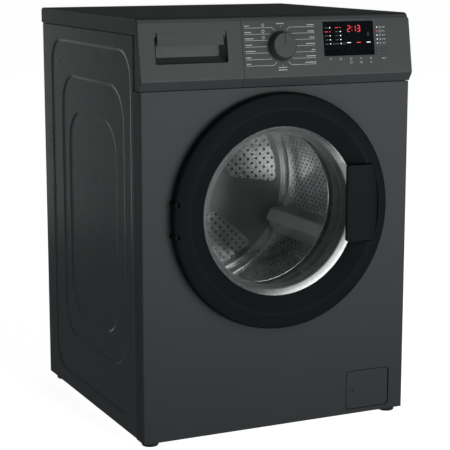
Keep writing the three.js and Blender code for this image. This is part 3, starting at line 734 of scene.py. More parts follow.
def front_sheet():
    shell = block((-299.4, 299.4), (0, 36.3), (10.4, 710.7))
    round_edges(shell, lambda middle, direction: abs(direction.z) > 0.99 and middle.y < 1, 4, 6)
    round_edges(shell, lambda middle, direction: abs(direction.x) > 0.99 and middle.y < 1, 1.2, 3)
    cut(shell, block((-297.8, 297.8), (1.6, 40), (0, 709)))
    trim(shell, plate((-300, 300), (-5, 45), (10.4, 710.7), "Y", 3, 4))
    collar = plate((157.5, 268.6), (1.2, 8), (15, 109), "Y", 11)
    cut(shell, rod(171.9, (-5, 30), (0, AXIS_Z), segments=160))
    welded(shell, collar)
    cut(shell, plate((160.9, 265.2), (-2, 12), (20, 104), "Y", 8.6))
    cut(shell, plate((181, 207), (-2, 4), (446, 474), "Y", 2))
    for low, high in ((423.4, 432.6), (487.4, 496.6)):
        cut(shell, block((-239.6, -228.4), (-2, 4), (low, high)))
    cut(shell, rod(1.9, (16, 108), (262, 3), "Z", 16))
    fitted(shell, "front_sheet", "cabinet", "front_paint", stands_for=("front_panel",))


def mouth_lip():
    """The rolled edge of the front panel's mouth."""
    profile = [
        (176.5, 0.2), (175.0, -0.3), (173.4, 0.0), (172.3, 1.2), (172.0, 3), (172.0, 12),
        (173.2, 12), (173.2, 3.2), (174.4, 1.8), (176.5, 1.6),
    ]
    fitted(turned(profile, segments=160), "mouth_lip", "cabinet", "front_paint")


def worktop_board():
    edge = [(8.4, 817.6), (8.8, 818.6), (11.6, 838.2), (12.2, 841.6), (13.6, 844.8), (15.9, 847.4)]
    edge += [(19, 849.2), (23, 849.9), (24.5, 850), (BACK - 6, 850)] + arc((BACK - 6, 844), 6, 75, 0, 5)
    edge += [(BACK, 818.2), (BACK - 0.8, 817.4), (9, 817.4)]
    board = drawn(edge, "X", (-300, 300))

    def upper_side(middle, direction):
        return abs(middle.x) > 299.9 and middle.z > 818 and middle.y < BACK - 1

    round_edges(board, upper_side, 2.2, 4)
    cut(board, block((-301, 301), (4, 14), (816, 818.9)))
    fitted(board, "worktop_board", "cabinet", "worktop", stands_for=("worktop",))


def foot_bosses():
    """The corner blocks that hold the feet."""
    profile = [(12, 11), (12, 27), (11, 28.2), (5.8, 28.2), (5.8, 11)]
    for side, x in (("left", -FOOT_X), ("right", FOOT_X)):
        for depth in FOOT_DEPTHS:
            boss = turned(profile, "Z", (x, depth), 32)
            fitted(boss, f"foot_boss_{side}_{depth}", "cabinet", "zinc_steel")


def levelling_foot(name, x, depth):
    pad = turned([
        (0.6, 0.2), (14.2, 0.2), (15.4, 0.5), (16.6, 1.5), (17, 2.6), (17, 5.6), (16.6, 6.8), (15.2, 7.8),
        (12, 8.3), (9.5, 8.5), (0.6, 8.5),
    ], "Z", (x, depth), 48)
    grips = []
    for i in range(18):
        angle = i * math.pi / 9
        spot = (x + 17.3 * math.cos(angle), depth + 17.3 * math.sin(angle))
        grips.append(rod(1.0, (1.6, 7.2), spot, "Z", 10))
    cut(pad, together(*grips))
    soften(pad, 0.3, 2, 40)
    nut = rod(8.6, (8.4, 11.6), (x, depth), "Z", 6)
    soften(nut, 0.6, 2)
    stud = turned(threaded(4.6, 5.0, 11.4, 37, 1.5), "Z", (x, depth), 24)
    fitted(together(pad, nut), name + "_pad", name, "foot_rubber", stands_for=(name,))
    fitted(stud, name + "_stud", name, "zinc_steel", angle=60)


def threaded(root, crest, low, high, pitch):
    """The profile of a stud with rings for its thread."""
    points = [(0.6, low)]
    z = low
    while z + pitch < high:
        points += [(root, z), (crest, z + pitch / 2)]
        z += pitch
    return points + [(root, z), (root - 0.8, high), (0.6, high)]


def rear_sheet():
    sheet = block((-295.6, 295.6), (566.2, 567.6), (10.4, 816.8))
    cut(sheet, rod(162, (560, 575), (0, AXIS_Z), segments=96))
    cut(sheet, rod(14.5, (560, 575), INLET))
    cut(sheet, rod(9.5, (560, 575), (-240, 757), segments=24))
    slots = []
    for column in (-150, -90, 90, 150):
        for row in range(7):
            z = 690 + row * 11
            slots.append(plate((column - 19, column + 19), (560, 575), (z, z + 4), "Y", 1.9, 3))
    cut(sheet, together(*slots))
    soften(sheet, 0.3, 1, 50)
    beads = []
    for x, z, wide, tall in ((-225, 300, 60, 330), (225, 300, 60, 330), (0, 125, 300, 66)):
        across, up = (x - wide / 2, x + wide / 2), (z - tall / 2, z + tall / 2)
        bead = plate(across, (567.2, 569.4), up, "Y", 22, 8)
        begin(bead)
        choose(bead, "FACE", lambda middle, direction: direction.y > 0.9)
        bpy.ops.mesh.inset(thickness=5 * MM, depth=0)
        bpy.ops.transform.translate(value=(0, 1.2 * MM, 0))
        bpy.ops.mesh.inset(thickness=8 * MM, depth=0)
        bpy.ops.mesh.inset(thickness=4 * MM, depth=0)
        bpy.ops.transform.translate(value=(0, -2.4 * MM, 0))
        end(True)
        beads.append(bead)
    fitted(sheet, "rear_sheet", "cabinet", "zinc_steel", stands_for=("rear_panel",))
    fitted(together(*beads), "rear_pressings", "cabinet", "zinc_steel")


def rear_service_cover():
    cover = turned([
        (0.6, 575.6), (40, 575.6), (42, 574.6), (60, 574.6), (62, 575.6), (100, 575.6), (102, 574.4),
        (118, 574.4), (120, 575.6), (146, 575.8), (150, 575.2), (164, 569.2), (167, 568.6), (181.4, 568.6),
        (181.8, 569.3), (181.4, 569.9), (167.6, 570), (165, 570.4), (151, 576.9), (147, 577.6), (120, 577.4),
        (118, 576.2), (102, 576.2), (100, 577.4), (62, 577.4), (60, 576.4), (42, 576.4), (40, 577.4),
        (0.6, 577.4),
    ], segments=96)
    fitted(cover, "rear_service_cover", "cabinet", "zinc_steel", stands_for=("rear_cover",))


def screws():
    """Cross-head screws at the back: round the cover and along the sheet's edges."""
    profile = [(0.6, 0), (3.9, 0), (4.2, 0.5), (4.0, 1.1), (3.2, 1.9), (1.8, 2.3), (0.6, 2.4)]
    head = turned(profile, "Y", (0, 0), 24)
    long, thin = (-2.2, 2.2), (-0.45, 0.45)
    cut(head, together(block(long, (1.2, 4), thin), block(thin, (1.2, 4), long)))
    places = []
    for angle in range(0, 360, 45):
        turn = math.radians(angle)
        places.append((175 * math.cos(turn), 570, AXIS_Z + 175 * math.sin(turn)))
    for x in (-288, 288):
        for z in (30, 160, 290, 420, 550, 680, 800):
            places.append((x, 567.6, z))
    places += [(x, 567.6, 808) for x in (-190, -95, 0, 95, 190)]
    heads = [copied(head, place) for place in places]
    discard(head)
    fitted(together(*heads), "rear_screws", "cabinet", "zinc_steel", angle=40)


def water_inlet():
    valve = plate((206, 254), (505, 565), (738, 776), "Y", 5)
    soften(valve, 1.2)
    profile = [(0.6, 560), (11.6, 560), (11.6, 567)]
    for i in range(6):
        depth = 568 + i * 1.7
        profile += [(11.9, depth), (13.0, depth + 0.85)]
    profile += [(11.9, 578.2), (11.4, 579.4), (9.4, 579.8), (8.8, 579.2), (8.8, 569), (0.6, 569)]
    inlet = together(valve, turned(profile, centre=INLET, segments=48))
    fitted(inlet, "water_inlet", "cabinet", "pale_plastic", stands_for=("inlet_valve",), angle=50)
    profile = [(0.6, 569.4), (8.6, 569.4), (8.6, 570.6), (7.8, 571.2), (0.6, 572.4)]
    strainer = turned(profile, centre=INLET, segments=24)
    fitted(strainer, "inlet_strainer", "cabinet", "grey_plastic")


# ---- Control panel and drawer front ----

FASCIA_FACE = [
    (0.6, 711.9), (0.2, 713), (-9.3, 728.4), (-9.8, 729.4), (-9.98, 730.2), (-9.85, 731.2),
    (8.2, 837.8), (8.9, 840.8), (9.9, 841.9),
]


def up_panel(*heights):
    """Distances up the leaning face from its lower crease, for heights over the floor."""
    return [(z - CREASE_Z) / math.cos(LEAN) for z in heights]


def fascia_block(x, back):
    section = FASCIA_FACE + [(11.6, 841.9), (7.8, 817.1), (back, 817.1), (back, 711.9)]
    body = drawn(section, "X", x)
    return trim(body, plate((-300, 300), (-20, 60), (680, 842), "Y", 7, 8))


def hollow_for(x):
    return drawn([(3.0, 714.4), (-6.9, 731), (7.2, 814), (60, 814), (60, 714.4)], "X", x)


def panel_cutter(x, z, r):
    """A rounded cutter square to the leaning face."""
    return settle(plate(x, up_panel(*z), (-4, 6), "Z", r, 4), MACHINE.inverted() @ PANEL)


def control_face():
    face = fascia_block((-82.6, 300), 36.3)
    cut(face, hollow_for((-79.6, 297)))
    cut(face, panel_cutter((97.6, 214.4), (767.1, 835.4), 1.5))
    cut(face, panel_cutter((219.1, 248.4), (766.6, 779.9), 2.5))
    soften(face, 0.5, 2, 35)
    frame_plate = block((-297, -80.4), (26, 28.5), (712, 816.9))
    cut(frame_plate, plate((-288, -92), (20, 40), (734, 810), "Y", 4))
    soften(frame_plate, 0.4)
    fitted(face, "control_face", "cabinet", "fascia_plastic", stands_for=("control_panel",))
    fitted(frame_plate, "drawer_frame_plate", "cabinet", "black_plastic")


def drawer_face():
    face = fascia_block((-300, -83.4), 24)
    cut(face, hollow_for((-297, -86.4)))
    section = [(-12, 758.5), (7, 758.5), (20.5, 762), (20.5, 818), (7.7, 816.6), (-12, 816.6)]
    pocket = drawn(section, "X", (-271, -112))
    sheath = drawn([(-10, 730.4), (8.6, 841), (22, 841), (22, 712), (3, 712)], "X", (-290, -90))
    trim(pocket, sheath)
    welded(face, pocket)
    scoop = plate((-268, -115), (-25, 5), (762, 814.2), "Y", 4, 4)
    begin(scoop)
    choose(scoop, "FACE", lambda middle, direction: direction.y > 0.9)
    bpy.ops.mesh.extrude_region_move(TRANSFORM_OT_translate={"value": (0, 13.4 * MM, 0)})
    bpy.ops.transform.resize(value=(0.87, 1, 0.78), center_override=Vector((-191.5, 18.4, 814.2)) * MM)
    end(True)
    section = [(-12, 805), (9.0, 805), (7.4, 819), (5.2, 821.6), (-12, 822)]
    welded(scoop, drawn(section, "X", (-268, -115)))
    cut(face, scoop)
    soften(face, 0.6, 2, 38)
    fitted(face, "drawer_face", "drawer", "fascia_plastic", stands_for=("drawer_front",))
    flap = drawn([
        (0.9, 796.4), (1.3, 796), (4.8, 796), (5.2, 796.5), (8.0, 821.6), (7.6, 822.4), (6.0, 822.5),
        (5.3, 822.2),
    ], "X", (-261.5, -122.5))
    soften(flap, 0.7, 3, 30)
    fitted(flap, "drawer_pull_flap", "drawer", "fascia_plastic")


def bars(name, strips, slot, finish, height=(0.0, 0.12)):
    """Flat marks on the leaning face, each with its middle, length, width and turn in degrees."""
    bpy.ops.object.select_all(action="DESELECT")
    bpy.ops.mesh.primitive_cube_add(size=1)
    obj = bpy.context.object
    begin(obj)
    bpy.ops.mesh.delete(type="VERT")
    for x, z, length, width, turn in strips:
        place = Vector((x, up_panel(z)[0], (height[0] + height[1]) / 2)) * MM
        size = Vector((length, width, height[1] - height[0])) * MM
        angle = (0, 0, math.radians(turn))
        bpy.ops.mesh.primitive_cube_add(size=1, location=place, rotation=angle, scale=size)
    end()
    round_edges(obj, lambda middle, direction: abs(direction.z) > 0.9, 0.22, 2)
    fitted(obj, name, "cabinet", slot, finish, place=PANEL, flat=False)


def words(x, z, length, seed, right=False, height=1.6):
    """A label as a row of small plain dashes."""
    picker = random.Random(seed)
    marks = []
    at = 0.0
    while at < length:
        dash = picker.choice((2.2, 3.0, 3.8))
        dash = min(dash, max(length - at, 1.2))
        middle = x - at - dash / 2 if right else x + at + dash / 2
        marks.append((middle, z, dash, height, 0))
        at += dash + 0.9
    return marks


LABEL_LENGTHS = {-1: (10, 14, 19, 15, 21, 11, 10), 1: (15, 14, 11, 19, 8, 21, 24)}


def programme_prints():
    """The ring of programme lines round the knob, with plain dashes for their labels."""
    marks = []
    x0, z0 = KNOB
    for side in (-1, 1):
        for row in range(7):
            angle = math.radians(90 - side * 22.5 * (row + 1))
            z = 826.4 - 12.2 * row
            start = (x0 + 32.8 * math.cos(angle), z0 + 32.8 * math.sin(angle))
            bend = abs(z - start[1]) * 1.1
            knee = start[0] + side * bend
            end_x = -77 if side < 0 else 78
            if abs(z - start[1]) > 1.2:
                length = math.hypot(knee - start[0], z - start[1])
                turn = math.degrees(math.atan2(z - start[1], knee - start[0]))
                marks.append(((start[0] + knee) / 2, (start[1] + z) / 2, length + 0.4, 0.62, turn))
            else:
                knee = start[0]
            marks.append(((knee + end_x) / 2, z, abs(end_x - knee), 0.62, 0))
            length = LABEL_LENGTHS[side][row]
            marks += words(end_x - side * 0.5, z + 3.7, length, row * 2 + side, side > 0)
    for z in (831.4, 819.2, 807):
        for across, up, turn in ((-1, 1, 45), (1, 1, -45), (-1, -1, -45), (1, -1, 45)):
            marks.append((-36 + 1.6 * across, z + 1.6 * up, 4.2, 0.7, turn))
    marks += words(x0 - 9, 833.8, 17, 31)
    marks += words(x0 - 10, 748.4, 19, 32) + words(x0 - 10, 743.6, 19, 33)
    marks += [(x0, 828.6, 0.7, 2.6, 0), (x0, 752.8, 0.7, 2.6, 0)]
    return marks


def icon(x, z, kind):
    """Small plain symbols: a ring, a star of strokes, a fork, a tub and a slope."""
    if kind == "ring":
        return [
            (x + 2.1 * math.cos(a), z + 2.1 * math.sin(a), 1.75, 0.55, math.degrees(a) + 90)
            for a in (i * math.pi / 4 for i in range(8))
        ]
    if kind == "star":
        return [(x, z, 4.6, 0.5, turn) for turn in (0, 60, 120)]
    if kind == "fork":
        return [
            (x, z - 1, 0.6, 3.4, 0), (x - 1.2, z + 1.4, 2.6, 0.6, 130), (x + 1.2, z + 1.4, 2.6, 0.6, 50),
        ]
    if kind == "tub":
        return [
            (x, z - 1.6, 3.6, 0.6, 0), (x - 2.1, z, 3.2, 0.6, 105), (x + 2.1, z, 3.2, 0.6, 75),
            (x, z + 1.2, 2.6, 0.5, 0),
        ]
    return [(x, z, 4.4, 0.6, 38), (x + 1.4, z - 1.4, 2.2, 0.6, 0), (x - 1.4, z + 1.4, 2.2, 0.6, 0)]


def panel_icons():
    marks = []
    for x, kind in ((111.5, "fork"), (134.5, "ring"), (158, "tub"), (181.6, "slope"), (204.5, "star")):
        marks += icon(x, 761.0, kind)
    for x, kind in ((158, "ring"), (181.6, "tub"), (204.5, "slope")):
        marks += icon(x, 753.2, kind)
    for i, z in enumerate((822, 814, 806, 798, 790)):
        marks += icon(229.5, z, ("tub", "ring", "slope", "star", "fork")[i])
        marks += words(234.5, z, 7, 60 + i, height=1.2)
    marks += [(231.6, 759.6, 2.6, 0.6, 90), (233.2, 760.4, 2.6, 0.6, -38), (233.2, 758.8, 2.6, 0.6, 38)]
    marks += [(237, 759.6, 3.0, 0.8, 90), (239, 759.6, 3.0, 0.8, 90)]
    return marks


SEGMENTS = {"2": "abged", "1": "bc", "3": "abgcd"}


def digit(figure, x, z):
    """A seven-bar figure, with its lower left corner at x and z."""
    wide, tall = 6.2, 11.8
    spots = {
        "a": (wide / 2, tall, wide - 1.6, 0), "g": (wide / 2, tall / 2, wide - 1.6, 0),
        "d": (wide / 2, 0, wide - 1.6, 0), "b": (wide, tall * 0.75, tall / 2 - 1.2, 90),
        "e": (0, tall * 0.25, tall / 2 - 1.2, 90), "c": (wide, tall * 0.25, tall / 2 - 1.2, 90),
    }
    return [(x + spots[s][0], z + spots[s][1], spots[s][2], 1.5, spots[s][3]) for s in SEGMENTS[figure]]


def display():
    glass = plate((98, 214), up_panel(780.6, 835), (-2.2, 0.2), "Z", 2)
    soften(glass, 0.25, 2, 40)
    stands_for = ("display_window",)
    fitted(glass, "display_glass", "cabinet", "display_gloss", stands_for=stands_for, place=PANEL)
    white, red, dim = [], [], []
    for column, x in enumerate((113.4, 137.4)):
        for row in range(5):
            z = 823 - 7.95 * row
            lit = red if (column, row) in ((0, 1), (1, 0)) else white
            lit.append((x, z, 2.0, 2.0, 0))
            dim += words(x - 11.4, z, 6.5, column * 9 + row, height=1.5)
            if lit is red:
                red += words(x - 11.4, z, 6.5, column * 9 + row, height=1.5)
    red += digit("2", 154, 814.4) + digit("1", 166.2, 814.4) + digit("3", 176.6, 814.4)
    red += [(164.6, 823.4, 1.3, 1.3, 0), (164.6, 817.2, 1.3, 1.3, 0), (178.6, 792.6, 9, 1.3, 0)]
    white += [(155.8, 792.6, 9, 1.3, 0), (201.4, 792.6, 9, 1.3, 0)]
    dim += icon(121.5, 791.2, "tub") + icon(145, 791.2, "tub") + icon(201.4, 808, "ring")
    dim.append((201.4, 811.5, 0.6, 2.4, 0))
    bars("display_white_lamps", white, "display_gloss", WHITE_LAMP, (0.2, 0.3))
    bars("display_red_lamps", red, "display_gloss", RED_LAMP, (0.2, 0.32))
    bars("display_dim_marks", dim, "display_gloss", DIM_INK, (0.2, 0.26))
    lamps = [(222.4, z, 1.9, 1.9, 0) for z in (822, 806, 798, 790)]
    bars("stage_white_lamps", lamps, "display_gloss", WHITE_LAMP)
    bars("stage_red_lamp", [(222.4, 814, 1.9, 1.9, 0)], "display_gloss", RED_LAMP)
    bars("programme_lines", programme_prints(), "pale_plastic", WHITE_INK)
    bars("function_symbols", panel_icons(), "pale_plastic", WHITE_INK)


def key_cap(cap, insets, middle):
    """Steps a key's top face and gives the key its stem."""
    begin(cap)
    choose(cap, "FACE", lambda spot, direction: direction.z > 0.9)
    for width, rise in insets:
        bpy.ops.mesh.inset(thickness=width * MM, depth=rise * MM)
    end(True)
    return together(cap, rod(2, (-9, -2), middle, "Z", 16))


def keys():
    s = up_panel(767.6, 780.1)
    for i in range(5):
        left = 98.2 + i * 23.2
        cap = plate((left, left + 22.6), s, (-2.4, 0.2), "Z", 1.0, 3)
        key_cap(cap, ((0.5, 0), (1.6, -0.08)), (left + 11.3, (s[0] + s[1]) / 2))
        body = f"key_{i + 1}"
        fitted(cap, f"touch_{body}", body, "display_gloss", stands_for=(body,), place=PANEL)
    s = up_panel(767, 779.5)
    cap = plate((219.5, 248), s, (-2.4, 0.45), "Z", 2.5, 5)
    key_cap(cap, ((0.7, 0.22), (3, -0.25)), (233.75, (s[0] + s[1]) / 2))
    fitted(cap, "start_key", "start_button", "fascia_plastic", stands_for=("start_button",), place=PANEL)


def programme_knob():
    x, z = KNOB[0], up_panel(KNOB[1])[0]
    body = turned([
        (0.6, -10), (3.4, -10), (3.4, 0.5), (28.8, 0.5), (29.3, 0.9), (29.4, 1.8), (29.1, 3.4), (25.6, 14.4),
        (25.2, 15.4), (24.6, 16.2), (23.8, 16.7), (22.8, 16.8), (0.6, 16.8),
    ], "Z", (x, z), 128)
    cut(body, plate((x - 1.4, x + 1.4), (z + 3, z + 25.2), (15.2, 18), "Z", 0.7, 3))
    name = "programme_knob"
    fitted(body, "knob_body", name, "fascia_plastic", stands_for=(name,), place=PANEL, angle=25)
    pointer = plate((x - 1.3, x + 1.3), (z + 3.1, z + 24), (15.0, 16.0), "Z", 0.6, 3)
    fitted(pointer, "knob_pointer", name, "black_plastic", place=PANEL)


def drawer_box():
    tray = plate((-284, -96), (24.4, 300), (738, 806), "Z", 5, 4)
    for left, right in ((-281.5, -217.2), (-214.8, -151.2), (-148.8, -98.5)):
        pocket = plate((left, right), (30, 297.5), (741, 820), "Z", 6, 4)
        cut(tray, round_edges(pocket, lambda middle, direction: middle.z < 742, 3, 3))
    soften(tray, 0.7, 2, 40)
    fitted(tray, "drawer_box", "drawer", "pale_plastic", stands_for=("drawer_tray",))
    siphon = plate((-146, -101), (205, 292), (742, 790), "Z", 5, 4)
    round_edges(siphon, lambda middle, direction: middle.z > 789, 4, 4)
    cap = turned([(0.6, 789), (12, 789), (12, 796), (11, 797.4), (4, 798), (0.6, 798)], "Z", (-123, 248), 32)
    fitted(together(siphon, cap), "softener_siphon", "drawer", "grey_plastic")


# ---- Door ----

def door_ring():
    ring = turned([
        (240.4, -5.1), (240.3, -9), (239.5, -14), (238.3, -18), (237.2, -19.6), (235.4, -20.9),
        (233.2, -21.8), (227, -23.9), (220, -25.7), (213.4, -27.1), (210, -27.75), (208, -27.95),
        (206.4, -27.6), (204.6, -26.9), (196, -22.6), (184, -16.5), (175.5, -12.2), (173.2, -11),
        (172.2, -10.1), (172.1, -9.2), (174, -8.9), (180, -8.9), (180, -5.1),
    ], segments=192)
    bay = block((165, 230), (-45, -11.5), (387.7, 549.3))
    cut(ring, trim(bay, rod(216, (-60, 0), (0, AXIS_Z), segments=192)))
    cut(ring, rod(2.9, (383, 554), GRIP_PIN, "Z", 16))
    cut(ring, block((184, 204), (-15, 0), (449, 471)))
    cut(ring, rod(3, (423, 497), (-234, -16.5), "Z", 20))
    for low, high in ((423.3, 432.7), (487.3, 496.7)):
        cut(ring, block((-260, -227.5), (-40, 0), (low, high)))
    soften(ring, 0.5, 2, 38)
    fitted(ring, "door_ring", "door", "door_plastic", stands_for=("door_outer_ring",), angle=22)
    inner = turned([
        (173.4, -4.4), (211.6, -4.4), (212, -4), (212, -1.4), (211.4, -1.0), (198, -1.0), (197, -2.2),
        (190, -2.2), (189, -1.0), (174, -1.0), (173.4, -1.6),
    ], segments=128)
    cut(inner, block((183, 205), (-15, 5), (448, 472)))
    heads = []
    for i in range(8):
        angle = math.radians(22.5 + 45 * i)
        spot = (205 * math.cos(angle), AXIS_Z + 205 * math.sin(angle))
        heads.append(rod(3.2, (-1.6, 0.3), spot, "Y", 16, 2.6))
    fitted(inner, "door_back_ring", "door", "door_plastic", stands_for=("door_inner_ring",))
    fitted(together(*heads), "door_back_screws", "door", "zinc_steel")


def bowl():
    """The glass bowl, drawn out from the middle of its inner face to the middle of its outer face."""
    profile = [
        (0.6, 101), (40, 100.6), (70, 99.4), (92, 97.6), (104, 95), (112.5, 90.6), (118.6, 84), (123.6, 74),
        (129, 60), (134.5, 45), (139.4, 33), (144.6, 23), (151, 13), (158, 3), (164, -5.2), (167.4, -8.4),
        (170, -8.7), (178.2, -8.6), (178.8, -8.2), (178.8, -6), (178.4, -5.4), (171.6, -5.3), (169.6, -4.4),
        (162.6, 5.4), (155.6, 15.4), (149.2, 25.6), (144, 35.6), (139.4, 47.5), (134, 62), (128.6, 76),
        (123.4, 86.6), (117.6, 93.6), (109, 98.6), (96, 101.8), (74, 104), (42, 105.2), (0.6, 105.6),
    ]
    whole = turned(profile, segments=160, closed=False)
    fitted(whole, "door_bowl", "door", "door_glass", stands_for=("door_glass",), angle=60, flat=False)


def grip():
    section = [
        (139.3, -24.8), (139.1, -28.4), (140.2, -29.9), (142, -30.5), (160, -31.3), (184, -32), (198, -31.4),
        (205.4, -30.2), (210.4, -28.4), (213, -26.8), (213, -22.6), (204, -21.6), (190, -21.6), (166, -24.6),
    ]
    paddle = drawn(section, "Z", (390, 547))
    trim(paddle, plate((139, 230), (-50, 0), (390, 547), "Y", 6, 6))
    trim(paddle, rod(213.4, (-60, 0), (0, AXIS_Z), segments=192))
    soften(paddle, 0.8, 3, 32)
    profile = [(0.6, 394), (4.4, 394), (4.6, 394.4), (4.6, 542.6), (4.4, 543), (0.6, 543)]
    barrel = turned(profile, "Z", GRIP_PIN, 24)
    pin = soften(rod(2.4, (384.4, 552.6), GRIP_PIN, "Z", 16), 0.5)
    name = "door_handle"
    fitted(together(paddle, barrel, pin), "door_grip", name, "door_plastic", stands_for=(name,))


# ---- Drum ----

def perforate(obj, test, inset):
    """Opens a hole in each chosen cell, rounded off afterwards by one subdivision."""
    begin(obj)
    choose(obj, "FACE", test)
    bpy.ops.mesh.inset(thickness=inset * MM, use_individual=True)
    bpy.ops.mesh.delete(type="FACE")
    end()
    return modify(obj, "SUBSURF", levels=1, render_levels=1, boundary_smooth="ALL")


def drum_wall():
    """The drum's perforated wall, left plain under the lifters and near its ends."""
    around, rows = 164, 31
    low, high = 118, 392
    step = (high - low) / rows
    profile = [(DRUM_R, low + step * i) for i in range(rows + 1)]
    wall = turned(profile, segments=around, closed=False)

    def holed(middle, direction):
        angle = math.degrees(math.atan2(middle.z - AXIS_Z, middle.x))
        column = round(angle / (360 / around) + 0.5)
        row = int((middle.y - low) / step)
        if row < 1 or row > rows - 2 or (row + column) % 2:
            return False
        return min(abs((angle - lifter + 180) % 360 - 180) for lifter in LIFTER_ANGLES) > 8

    perforate(wall, holed, 1.75)
    stands_for = ("drum_shell",)
    fitted(wall, "drum_wall", "drum", "stainless_steel", stands_for=stands_for, angle=60, flat=False)


def drum_ends():
    """The drum's front lip, and the rolled seam that joins the wall to its back."""
    lip = turned([
        (DRUM_R, 118.4), (DRUM_R, 104), (231.4, 101.6), (229.6, 100), (227, 99.4), (200, 96.8), (170, 94.2),
        (166.6, 93.6), (165.2, 92.6), (164.4, 93.2), (164.6, 94.6), (166.6, 95.4), (168, 95.2),
    ], segments=128, closed=False)
    fitted(lip, "drum_front_lip", "drum", "stainless_steel", angle=50, flat=False)
    seam = turned([
        (DRUM_R, 391.6), (230.6, 392.4), (229.6, 394), (229.4, 396), (229.4, 400), (230.2, 401.4),
        (230.8, 402), (230.2, 402.6), (228.8, 402.8), (227.4, 403.4), (221.6, 404.6), (220, 404.3),
        (218.8, 403.2), (214, 402.4), (210, 402.2),
    ], segments=128, closed=False)
    fitted(seam, "drum_back_seam", "drum", "stainless_steel", angle=26, flat=False)


def sector(inner, outer, middle, half, depth):
    """A window between two arms, as a rounded wedge."""
    points = arc((0, AXIS_Z), outer, middle - half, middle + half, 14)
    points += arc((0, AXIS_Z), inner, middle + half * 0.72, middle - half * 0.72, 8)
    corners = (points[0], points[14], points[15], points[-1])

    def near(spot, direction):
        nearest = min(math.hypot(spot.x - x, spot.z - z) for x, z in corners)
        return abs(direction.y) > 0.9 and nearest < 0.2

    return round_edges(drawn(points, "Y", depth), near, 13, 5)


def drum_back():
    """The drum's back: three smooth arms between perforated fields."""
    profile = [(0.6, 397), (30, 397.4), (70, 398.6), (211, 400.6), (212, 402.8), (0.6, 402.8)]
    star = turned(profile, segments=128)
    for angle in LIFTER_ANGLES:
        cut(star, sector(76, 200, angle + 60, 38, (380, 420)))
    soften(star, 1.6, 3, 40)
    # The arms take the darkened steel, a painted shade.
    fitted(star, "drum_back_star", "drum", "stainless_steel", SHADED_STAR_STEEL, angle=40)
    profile = [(0.6, 390), (10, 390), (14, 391), (20, 394.4), (34, 396.8), (36, 398), (0.6, 398)]
    fitted(turned(profile, segments=48), "drum_back_cap", "drum", "stainless_steel", angle=30)
    cell = 10.2
    count = 40
    bpy.ops.object.select_all(action="DESELECT")
    bpy.ops.mesh.primitive_grid_add(
        x_subdivisions=count, y_subdivisions=count, size=cell * count * MM,
        location=Vector((0, 403.2, AXIS_Z)) * MM, rotation=(math.pi / 2, 0, 0),
    )
    field = settle(bpy.context.object)
    begin(field)
    choose(field, "FACE", lambda spot, direction: not 62 < math.hypot(spot.x, spot.z - AXIS_Z) < 207)
    bpy.ops.mesh.delete(type="FACE")
    end()

    def holed(spot, direction):
        return (round(spot.x / cell - 0.5) + round((spot.z - AXIS_Z) / cell - 0.5)) % 2 == 0

    perforate(field, holed, 1.9)
    fitted(field, "drum_back_field", "drum", "stainless_steel", angle=60, flat=False)


def lifters():
    foot = AXIS_Z - DRUM_R + 1.5
    outline = [(-36, foot), (-34, foot + 1.5), (-15.5, foot + 43), (-13.6, foot + 45.6), (-10, foot + 47)]
    outline += [(-x, z) for x, z in reversed(outline)]
    blade = drawn(outline, "Y", (120, 389))
    begin(blade, "VERT")
    choose(blade, "VERT", lambda spot, direction: spot.z > foot + 40)
    bpy.ops.transform.resize(value=(1, 0.9, 1), center_override=Vector((0, 254.5, foot + 45)) * MM)
    end(True)
    soften(blade, 2.5, 4, 40)
    pips = []
    for side in (-1, 1):
        for column in range(9):
            for row in range(2):
                z = foot + 16 + row * 14
                x = side * (34 - (z - foot) * 19 / 43 - 0.3)
                y = 150 + column * 25 + row * 12
                pip = plate((x - 1.1, x + 1.1), (y - 1.6, y + 1.6), (z - 4, z + 4), "X", 1.5, 3)
                pips.append(pip)
    cut(blade, together(*pips))
    for number, angle in enumerate(LIFTER_ANGLES, 1):
        turn = math.radians(270 - angle)
        own = copied(blade, turn=turn, about=(0, 0, AXIS_Z))
        stands_for = (f"lifter_{number}",)
        fitted(own, f"lifter_blade_{number}", "drum", "lifter_plastic", stands_for=stands_for, angle=35)
    discard(blade)


def seal():
    """The door seal, folded between the front panel's mouth and the tub."""
    profile = [
        (168, 1.2), (166.4, 1.4), (160, 8), (155.6, 17), (154.8, 20), (155.2, 22.6), (156.6, 23.2),
        (161, 18), (165.4, 13.6), (167.2, 13.4), (167.4, 16), (167.2, 40), (167.8, 45), (171, 49),
        (172.6, 52), (171.4, 55.6), (168.4, 58.6), (167.6, 62), (167.6, 79.2), (169.4, 79.3), (170.7, 79),
        (170.9, 63.4), (173.2, 58.4), (175.9, 53), (175.7, 50.6), (173.6, 46), (171, 41), (170.7, 36),
        (170.7, 1.6),
    ]
    ring = turned(profile, segments=144)
    stands_for = ("bellows",)
    fitted(ring, "door_seal", None, "bellows_rubber", stands_for=stands_for, angle=45, flat=False)
    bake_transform(ring)


